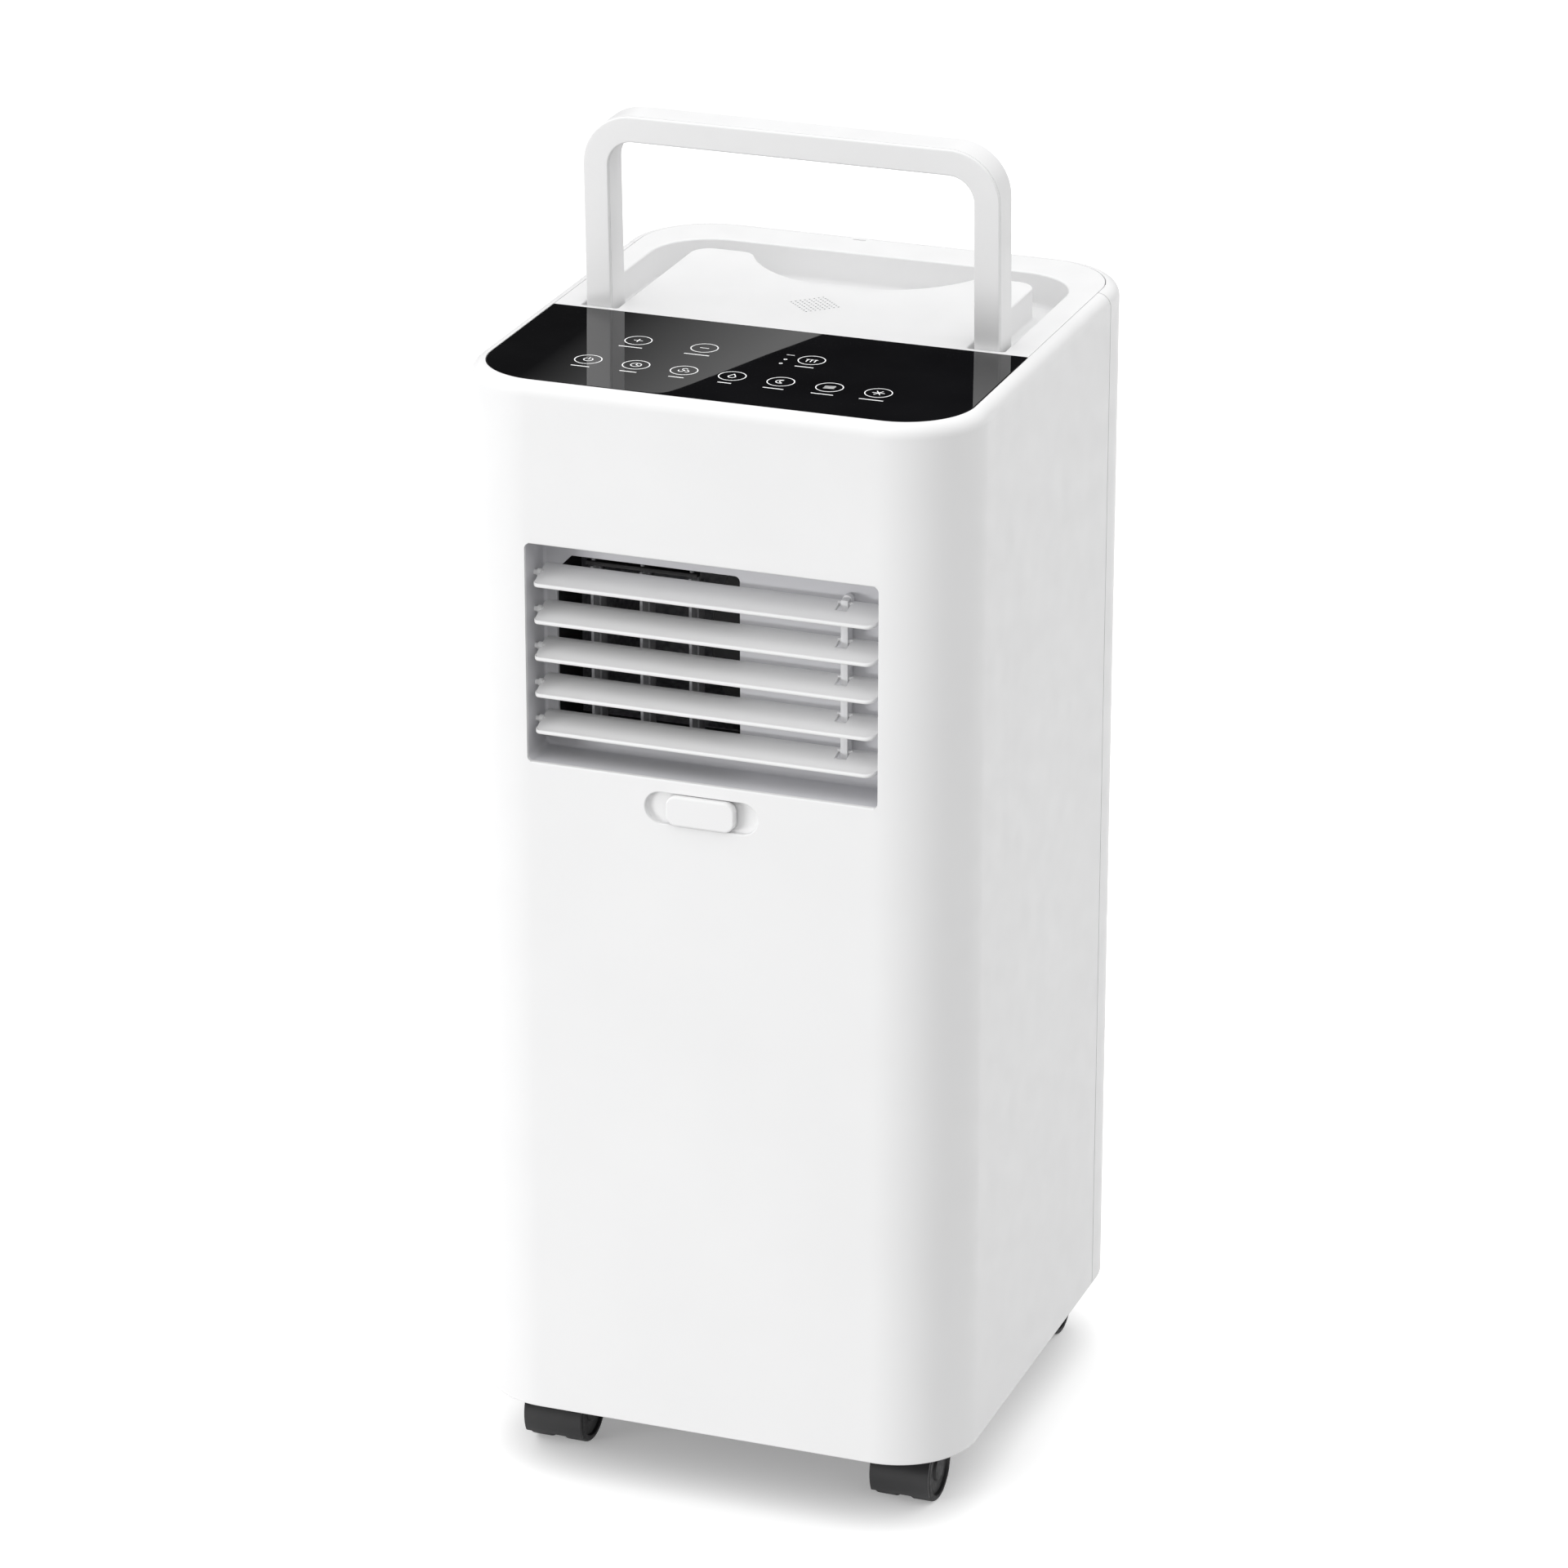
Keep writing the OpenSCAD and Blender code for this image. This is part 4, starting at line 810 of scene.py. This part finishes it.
def mark_fan(s, x, y):
    for turn in (90, 210, 330):
        a = math.radians(turn)
        ink_arc(s, x + 1.8 * math.cos(a), y + 1.8 * math.sin(a), 1.5, turn - 70, turn + 130, 8)
    ink_arc(s, x, y, 0.45, 0, 360)


def mark_moon(s, x, y):
    ink_arc(s, x, y, 2.8, 70, 300, 12)
    ink_arc(s, x + 1.6, y + 0.4, 2.3, 108, 262, 10)


def mark_plus(s, x, y):
    ink_line(s, x - 2.4, y, x + 2.4, y)
    ink_line(s, x, y - 2.4, x, y + 2.4)


def mark_minus(s, x, y):
    ink_line(s, x - 2.4, y, x + 2.4, y)


def mark_louvers(s, x, y):
    for k in (-1, 0, 1):
        ink_line(s, x - 2.8, y + 1.7 * k - 0.4, x + 2.8, y + 1.7 * k + 0.4)


def key_marks():
    """Rings, simple signs and plain bars, in place of the photo's captions."""
    s = Shape()
    front_row_y = front_y + 51.5
    back_row_y = front_y + 92.5
    ring_r = 7.6
    front_marks = [
        mark_power, mark_clock, mark_fan, mark_drop, mark_moon, mark_louvers, mark_snow,
    ]
    places = [((i - 3) * key_pitch, front_row_y, m) for i, m in enumerate(front_marks)]
    places += zip((-71.5, -32, 31.5), (back_row_y,) * 3, (mark_plus, mark_minus, mark_waves))
    bar_lengths = (10, 9, 8, 7, 11, 12, 13, 13, 14, 10)
    for (x, y, mark), bar in zip(places, bar_lengths):
        ink_arc(s, x, y, ring_r, 0, 360)
        mark(s, x, y)
        ink_line(s, x - bar / 2, y - 12.4, x + bar / 2, y - 12.4, 0.9)
    ink_line(s, 15.2, -65.7, 19.4, -65.7, 0.5)
    for y in (-73.8, -81.3):
        ink_arc(s, 17.2, y, 0.8, 0, 360, width=0.5)
    return s


INK = glass_print()
piece("key_print", key_marks(), INK, "root")

# ---------------------------------------------------------------- handle

hinge = Vector(joint_at["handle_fold"])
lean = math.radians(2)
handle_half = 123.5
leg_w = 15
leg_front = -16
leg_rear = 6
arch_z = 127
arch_r = 30
cover_t = 2
groove = 0.5
lean_frame = Matrix.Translation(hinge) @ Matrix.Rotation(lean, 4, "X")


def leaning(x, y, z):
    return tuple(lean_frame @ Vector((x, y, z)))


def handle_along_y(x, z, h):
    return leaning(x, h, z)


def foot_along_x(y, z, h):
    return leaning(h, y, z)


def handle_outline():
    inner = handle_half - leg_w
    inner_r = arch_r - leg_w
    cx = handle_half - arch_r
    cz = arch_z - arch_r
    return (
        [(handle_half, 0)]
        + arc(cx, cz, arch_r, 0, 90, 16)
        + arc(-cx, cz, arch_r, 90, 180, 16)
        + [(-handle_half, 0), (-inner, 0)]
        + arc(-cx, cz, inner_r, 180, 90, 12)
        + arc(cx, cz, inner_r, 90, 0, 12)
        + [(inner, 0)]
    )


bow = handle_outline()
cover_at = leg_front + cover_t
cover = Shape().prism(bow, leg_front, cover_at, 0.9, 0.2, put=handle_along_y)
piece("handle_front", cover, WHITE, "handle", ["handle_cover"])

grip = Shape().prism(bow, cover_at + groove, leg_rear, 0.2, 1.1, put=handle_along_y)
grip.prism(inset(bow, 0.5), cover_at, cover_at + groove + 0.1, put=handle_along_y)
foot_r = leg_rear - 0.2
foot = [(foot_r, 1), (leg_front + 0.2, 1), (leg_front + 0.2, -0.2)]
foot += arc(0, 0, foot_r, -100, 0, 12)
for side in (-1, 1):
    mid = side * (handle_half - leg_w / 2)
    half = leg_w / 2 - 0.2
    grip.prism(foot, mid - half, mid + half, 0.4, 0.4, put=foot_along_x)
piece("handle_rear", grip, WHITE, "handle", ["handle_body"])

# ---------------------------------------------------------------- air outlet

GREY = SLOTS["grey_plastic"]
duct_low, duct_high = box_mm("outlet_duct")
duct_wall = 2
duct_x0 = duct_low[0] + duct_wall
duct_x1 = duct_high[0] - duct_wall
duct_z0 = duct_low[2] + duct_wall
duct_z1 = duct_high[2] - duct_wall


def duct_window():
    """The window to the duct: its upper left corner is cut off and its upper right one is round."""
    left_cut = 9
    right_r = 3
    return (
        [(duct_x0, duct_z0), (duct_x1, duct_z0)]
        + arc(duct_x1 - right_r, duct_z1 - right_r, right_r, 0, 90, 6)
        + [(duct_x0 + left_cut, duct_z1), (duct_x0, duct_z1 - left_cut)]
    )


def vent_tub():
    """The recess behind the louvers, with filleted corners and a window to the duct."""
    shape = Shape()
    half = vent_half + frame_gap
    mouth_y = frame_low[1]
    outline = round_rect(0, vent_z, half, vent_half_h, 3.4)
    fillet = 2.0
    turns = [math.radians(22.5 * i) for i in range(5)]
    rows = [(mouth_y, 0.0)]
    rows += [
        (vent_back_y - fillet * (1 - math.sin(a)), fillet * (1 - math.cos(a))) for a in turns
    ]
    inner = shape.wall(outline, rows, along_y)
    shell = round_rect(0, vent_z, half + frame_wall, vent_half_h + frame_wall, 4)
    outer = shape.wall(shell, [(mouth_y, 1.2), (mouth_y + 3, 0), (frame_high[1], 0)], along_y)
    window = duct_window()
    edge = 0.6
    rows = [(h, -d) for h, d in levels(vent_back_y, frame_high[1], edge, 0)]
    throat = shape.wall(window, rows, along_y)
    shape.fill([outer[0], inner[0]])
    shape.fill([inner[-1], throat[0]])
    shape.fill([outer[-1], throat[-1]])
    return shape


piece("vent_tub", vent_tub(), GREY, "root", ["vent_frame"])

louver_half = 101
louver_front = -13
louver_rear = 10
louver_t = 2
nose_r = 1.3
crown_r = 70
notch_x = 77
notch_half = 3.5
notch_s = -0.5
left_corner_r = 3.0
right_corner_r = 7.0
louver_tilt = math.radians(17)


def crown(s, side):
    """Height of the blade's upper (side 1) or lower (side -1) face at a place along it."""
    return side * louver_t / 2 - crown_r + math.sqrt(crown_r**2 - s * s)


def louver_ring(shift, rear, squeeze):
    """Section of the blade, moved back by shift at the nose and cut at rear."""
    nose_s = louver_front + nose_r + shift
    nose = [(nose_s + u, v * squeeze) for u, v in arc(0, 0, nose_r, 100, 260, 8)]
    span = 9
    lower = []
    upper = []
    first = nose_s + 1.2
    for i in range(span + 1):
        s = first + (rear - first) * i / span
        mid = (crown(s, 1) + crown(s, -1)) / 2
        half = louver_t / 2 * squeeze
        if i == span:
            half *= 0.55
        lower.append((s, mid - half))
        upper.append((s, mid + half))
    return nose + lower + upper[::-1]


def corner_shift(x):
    """How far the front edge falls back at the rounded front corners."""
    for edge, r in ((-louver_half, left_corner_r), (louver_half, right_corner_r)):
        depth = r - abs(x - edge)
        if depth > 0:
            return r - math.sqrt(max(0.0, r * r - depth * depth))
    return 0.0


def corner_stations(edge, r, steps):
    """Places along the blade that divide the turn of a rounded corner evenly."""
    return [edge + r * (1 - math.cos(math.radians(90 * i / steps))) for i in range(steps + 1)]


def louver_shape(axis):
    """A crowned blade with a notch for the tie bar, and its pins."""
    shape = Shape()
    cos_t, sin_t = math.cos(louver_tilt), math.sin(louver_tilt)

    def at(x, s, h):
        return (x, axis[1] + s * cos_t - h * sin_t, axis[2] + s * sin_t + h * cos_t)

    left = corner_stations(-louver_half, left_corner_r, 6)
    right = corner_stations(louver_half, -right_corner_r, 8)
    notch = (notch_x - notch_half, notch_x + notch_half)
    stations = [(x, louver_rear) for x in left] + [(notch[0], louver_rear)]
    stations += [(notch[0], notch_s), (notch[1], notch_s)]
    stations += [(notch[1], louver_rear)] + [(x, louver_rear) for x in right[::-1]]
    rings = []
    for x, rear in stations:
        from_end = louver_half - abs(x)
        squeeze = 0.6 if from_end < 0.05 else 1.0
        ring = louver_ring(min(corner_shift(x), 6.4), rear, squeeze)
        rings.append(shape.ring([at(x, s, h) for s, h in ring]))
    shape.bridge(rings)
    shape.fill([rings[0]])
    shape.fill([rings[-1]])

    def pin(x0, x1, r, s=0.0):
        outline = circle(0, 0, r, 20)
        shape.prism(outline, x0, x1, 0.2, 0.2, put=lambda u, v, h: at(h, s + u, v))

    for side in (-1, 1):
        ends = sorted((side * (louver_half - 2), side * (louver_half + 6)))
        pin(*ends, 1.5)
        ends = sorted((side * (louver_half - 1), side * (louver_half + 1.6)))
        pin(*ends, 2.3)
    pin(notch[0] - 1, notch[1] + 1, 1.1, 7.0)
    return shape


for i in range(1, 6):
    axis = joint_at[f"louver_{i}_tilt"]
    name = f"louver_{i}"
    piece(f"louver_blade_{i}", louver_shape(axis), WHITE, name, [name])

# ---------------------------------------------------------------- slider


def slider_dish():
    """A shallow scooped track behind the front wall, with a slot for the knob's stem."""
    shape = Shape()
    y0, y1 = track_low[1], track_high[1]
    depth = 1.6
    steps = 6
    scoop = 3.2
    turns = [math.radians(90 * i / steps) for i in range(steps + 1)]
    rows = [(y0 + depth * math.sin(a), scoop * (1 - math.cos(a))) for a in turns]
    dish = shape.wall(stadium(track_half, track_r), rows, along_y)
    half_h = (track_high[2] - track_low[2]) / 2
    edge = shape.wall(
        round_rect(0, track_z, track_high[0], half_h, 9), levels(y0, y1, 0.3, 0.3), along_y
    )
    slot_outline = round_rect(0, track_z, 15.5, 3.5, 1.5, 4)
    slot = shape.wall(slot_outline, [(y0 + depth, -0.3), (y0 + depth + 0.3, 0), (y1, 0)], along_y)
    shape.fill([edge[0], dish[0]])
    shape.fill([dish[-1], slot[0]])
    shape.fill([edge[-1], slot[-1]])
    return shape


piece("slider_dish", slider_dish(), WHITE, "root", ["slider_track"])


def knob_outline():
    """A rounded rectangle whose short sides bulge a little."""
    half_k = 20.5
    half_h = 9
    r = 5.4
    bulge = 0.9
    outline = []
    for x, z in round_rect(0, 0, half_k - bulge, half_h, r, 6):
        out = bulge * (1 - (z / half_h) ** 2)
        outline.append((x + math.copysign(out, x), z + track_z))
    return outline


knob_low, knob_high = box_mm("slider_knob")
knob = Shape().prism(knob_outline(), knob_low[1], front_y + 2.4, 1.3, 0.3, put=along_y)
stem_y = track_high[1] + 0.3
stem = round_rect(0, track_z, 5, 3, 0.6, 3)
knob.prism(stem, front_y + 2.2, stem_y + 0.2, put=along_y)
fork = round_rect(0, track_z - 1, 9, 5, 1, 3)
knob.prism(fork, stem_y, stem_y + 5, 0.4, 0.4, put=along_y)
for side in (-1, 1):
    prong = round_rect(side * 5.7, knob_high[2] - 5.5, 3.3, 5.4, 0.8, 3)
    knob.prism(prong, stem_y + 0.2, knob_high[1], 0.4, 0.4, put=along_y)
piece("slider_cap", knob, WHITE, "slider", ["slider_knob"])

# ---------------------------------------------------------------- casters

wheel_r = 20
axle_r = 2.4
caster_half = 18
web_half = 4
hood_in = 20.7
hood_out = 22.2
stem_r = 5
stem_top = 68


def wheel_profile(side):
    """Half section of one wheel of a caster: place along the axle, and radius."""
    inner, outer = web_half + 0.5, caster_half
    inner_r, outer_r = 1.0, 2.2
    tread = arc(wheel_r - inner_r, inner + inner_r, inner_r, -90, 0, 4)
    tread += arc(wheel_r - outer_r, outer - outer_r, outer_r, 0, 90, 7)
    dish = [(16.6, outer), (16.2, outer - 0.3), (15.6, outer - 1.7), (8.0, outer - 1.7)]
    hub = [(7.4, outer - 0.5), (6.8, outer - 0.2), (3.0, outer - 0.2), (0.0, outer - 0.1)]
    rows = [(0.0, inner)] + tread + dish + hub
    return [(side * u, r) for r, u in rows]


def hood_shape(cx, cy, axle_y, axle_z):
    shape = Shape()
    start, end = 28, 210
    outline = arc(axle_y, axle_z, hood_out, start, end, 44)
    outline += arc(axle_y, axle_z, hood_in, end, start, 44)
    shape.prism(outline, cx - caster_half, cx + caster_half, 0.5, 0.5, put=along_x)
    web = arc(axle_y, axle_z, hood_out - 1, -30, 210, 40)
    shape.prism(web, cx - web_half, cx + web_half, 0.6, 0.6, put=along_x)
    neck_low = axle_z + wheel_r + 0.7
    shape.prism(circle(cx, cy, 9, 40), neck_low, bottom_z + 1.7, 0.3, 0.5)
    shape.prism(circle(cx, cy, stem_r, 32), bottom_z, stem_top, 0, 0.8)
    return shape


for corner in ("fl", "fr", "rl", "rr"):
    stem_at = joint_at[f"caster_{corner}_swivel"]
    axle = joint_at[f"wheels_{corner}_spin"]
    hood = hood_shape(stem_at[0], stem_at[1], axle[1], axle[2])
    node = f"caster_hood_{corner}"
    piece(
        f"caster_fork_{corner}", hood, SLOTS["black_plastic"], f"caster_{corner}",
        [node],
    )
    wheels = Shape()

    def about_axle(u, a, b):
        return (axle[0] + u, axle[1] + a, axle[2] + b)

    for side in (-1, 1):
        wheels.lathe(wheel_profile(side), about_axle)
    wheels.prism(
        circle(0, 0, axle_r, 24), -web_half - 1, web_half + 1,
        put=lambda a, b, h: about_axle(h, a, b),
    )
    node = f"caster_wheels_{corner}"
    piece(
        f"caster_rollers_{corner}", wheels, SLOTS["black_rubber"], f"wheels_{corner}",
        [node],
    )

# ---------------------------------------------------------------- CAD nodes that stay

# The three vanes get a darker grey than their own slot's plastic: painted shade for the shadow they sit in inside
# the outlet duct.
SHADED_VANE_GREY = moulded("vane_grey_painted_shade", (0.26, 0.26, 0.27), 0.5)
slot_of = {p["node"]: p["material_slot"] for p in frame["record"]["subparts"]}
edge_widths = {
    "exhaust_collar": 0.5, "intake_grille_upper": 0.35, "intake_grille_lower": 0.35,
    "drain_plugs": 0.5, "cord_gland": 0.6, "louver_tie_bar": 0.35, "vane_link": 0.3,
}
for node, obj in frame["nodes"].items():
    if obj.hide_render:
        continue
    material = SHADED_VANE_GREY if node in ("vane_1", "vane_2", "vane_3") else SLOTS[slot_of[node]]
    if obj.material_slots:
        for slot in obj.material_slots:
            slot.material = material
    else:
        obj.data.materials.append(material)
    obj.data.shade_smooth()
    weld = obj.modifiers.new("weld", "WELD")
    weld.merge_threshold = 1e-6
    if node in edge_widths:
        bevel = obj.modifiers.new("edge", "BEVEL")
        bevel.width = edge_widths[node] * MM
        bevel.segments = 2
        bevel.limit_method = "ANGLE"
        bevel.angle_limit = math.radians(50)
    split = obj.modifiers.new("split", "EDGE_SPLIT")
    split.split_angle = math.radians(32)

# ---------------------------------------------------------------- floor, light and camera

FLOOR_HALF = 7.0
CARD_Z = 1.803
CARD_CORNERS = [(-1.088, 3.60), (-1.350, 2.70), (-2.30, 2.70), (-2.30, 3.60)]
CARD_FADE_X = (-1.435, -1.21)
CARD_GLOW = (0.02, 0.62)
SOFT_BOX_AT = Vector((-2.0, -2.4, 0.28))
SOFT_BOX_AIM = Vector((0, 0, 0.33))
SKY_GLOW = (0.47, 1.95)
BACKDROP_GLOW = 1.1
CAMERA_AT = (1.2158, -3.3189, 1.8031)
CAMERA_YAW = math.radians(20.286)
CAMERA_PITCH = math.radians(21.807)
CAMERA_LENS = 150.72


def stage_sheet(name, corners, z, material):
    """A flat sheet of the stage, in metres."""
    mesh = bpy.data.meshes.new(name)
    mesh.from_pydata([(x, y, z) for x, y in corners], [], [(0, 1, 2, 3)])
    mesh.materials.append(material)
    sheet = bpy.data.objects.new(name, mesh)
    scene.collection.objects.link(sheet)
    sheet.visible_diffuse = False
    return sheet


def floor_paint():
    n = Nodes("floor_paint")
    n.color(n.ranged(n.noise(3.0), 0, 1), (0.88, 0.88, 0.88), (0.90, 0.90, 0.90))
    n.rough(n.noise(8.0), 0.85, 0.95)
    n.uniform(Specular_IOR_Level=0.0, Emission_Color=(1, 1, 1, 1), Emission_Strength=0.22)
    return n.material


def glow_ramp(tree, source, axis, output_range):
    """A strength that runs over a range along one axis of a texture coordinate."""
    place = tree.nodes.new("ShaderNodeTexCoord")
    split = tree.nodes.new("ShaderNodeSeparateXYZ")
    ramp = tree.nodes.new("ShaderNodeMapRange")
    ramp.inputs["To Min"].default_value, ramp.inputs["To Max"].default_value = output_range
    tree.links.new(place.outputs[source], split.inputs["Vector"])
    tree.links.new(split.outputs[axis], ramp.inputs["Value"])
    return ramp


def card_glow():
    """Light that fades out towards the left end of the card."""
    material = bpy.data.materials.new("card_light")
    material.use_nodes = True
    tree = material.node_tree
    tree.nodes.clear()
    glow = tree.nodes.new("ShaderNodeEmission")
    output = tree.nodes.new("ShaderNodeOutputMaterial")
    ramp = glow_ramp(tree, "Object", "X", CARD_GLOW)
    ramp.inputs["From Min"].default_value, ramp.inputs["From Max"].default_value = CARD_FADE_X
    tree.links.new(ramp.outputs["Result"], glow.inputs["Strength"])
    tree.links.new(glow.outputs["Emission"], output.inputs["Surface"])
    return material


def make_soft_box():
    """A soft box at the left front, below the deck, so that the deck has only the sky."""
    light = bpy.data.lights.new("soft_box", "AREA")
    light.shape = "RECTANGLE"
    light.size = 1.2
    light.size_y = 0.5
    light.energy = 43
    soft_box = bpy.data.objects.new("soft_box", light)
    scene.collection.objects.link(soft_box)
    soft_box.location = SOFT_BOX_AT
    soft_box.rotation_euler = (SOFT_BOX_AIM - SOFT_BOX_AT).to_track_quat("-Z", "Y").to_euler()
    soft_box.visible_camera = False
    soft_box.visible_glossy = False


def make_sky():
    """A sky brighter overhead, dark to reflections and plain white behind the object."""
    world = bpy.data.worlds.new("studio")
    scene.world = world
    world.use_nodes = True
    tree = world.node_tree
    tree.nodes.clear()

    def background(color, strength):
        node = tree.nodes.new("ShaderNodeBackground")
        node.inputs["Color"].default_value = (*color, 1)
        node.inputs["Strength"].default_value = strength
        return node

    def switch(ray, otherwise, when):
        node = tree.nodes.new("ShaderNodeMixShader")
        tree.links.new(rays.outputs[ray], node.inputs["Fac"])
        tree.links.new(otherwise, node.inputs[1])
        tree.links.new(when, node.inputs[2])
        return node.outputs["Shader"]

    rays = tree.nodes.new("ShaderNodeLightPath")
    dome = background((1, 1, 1), 1)
    ramp = glow_ramp(tree, "Generated", "Z", SKY_GLOW)
    tree.links.new(ramp.outputs["Result"], dome.inputs["Strength"])
    reflected = background((0.02, 0.02, 0.022), 1)
    backdrop = background((1, 1, 1), BACKDROP_GLOW)
    lit = switch("Is Glossy Ray", dome.outputs["Background"], reflected.outputs["Background"])
    seen = switch("Is Camera Ray", lit, backdrop.outputs["Background"])
    output = tree.nodes.new("ShaderNodeOutputWorld")
    tree.links.new(seen, output.inputs["Surface"])


def make_camera():
    data = bpy.data.cameras.new("camera")
    data.lens = CAMERA_LENS
    data.sensor_width = 36.0
    data.sensor_fit = "HORIZONTAL"
    camera = bpy.data.objects.new("camera", data)
    scene.collection.objects.link(camera)
    camera.location = CAMERA_AT
    camera.rotation_euler = (math.pi / 2 - CAMERA_PITCH, 0, CAMERA_YAW)
    scene.camera = camera


far = FLOOR_HALF
stage_sheet("floor", [(-far, -far), (far, -far), (far, far), (-far, far)], 0, floor_paint())

# A card above and behind, seen only in reflections: its edge runs across the glass
card = stage_sheet("card", CARD_CORNERS, CARD_Z, card_glow())
card.visible_camera = False
card.visible_shadow = False

make_soft_box()
make_sky()
make_camera()
scene.view_settings.view_transform = "Standard"
scene.view_settings.look = "None"
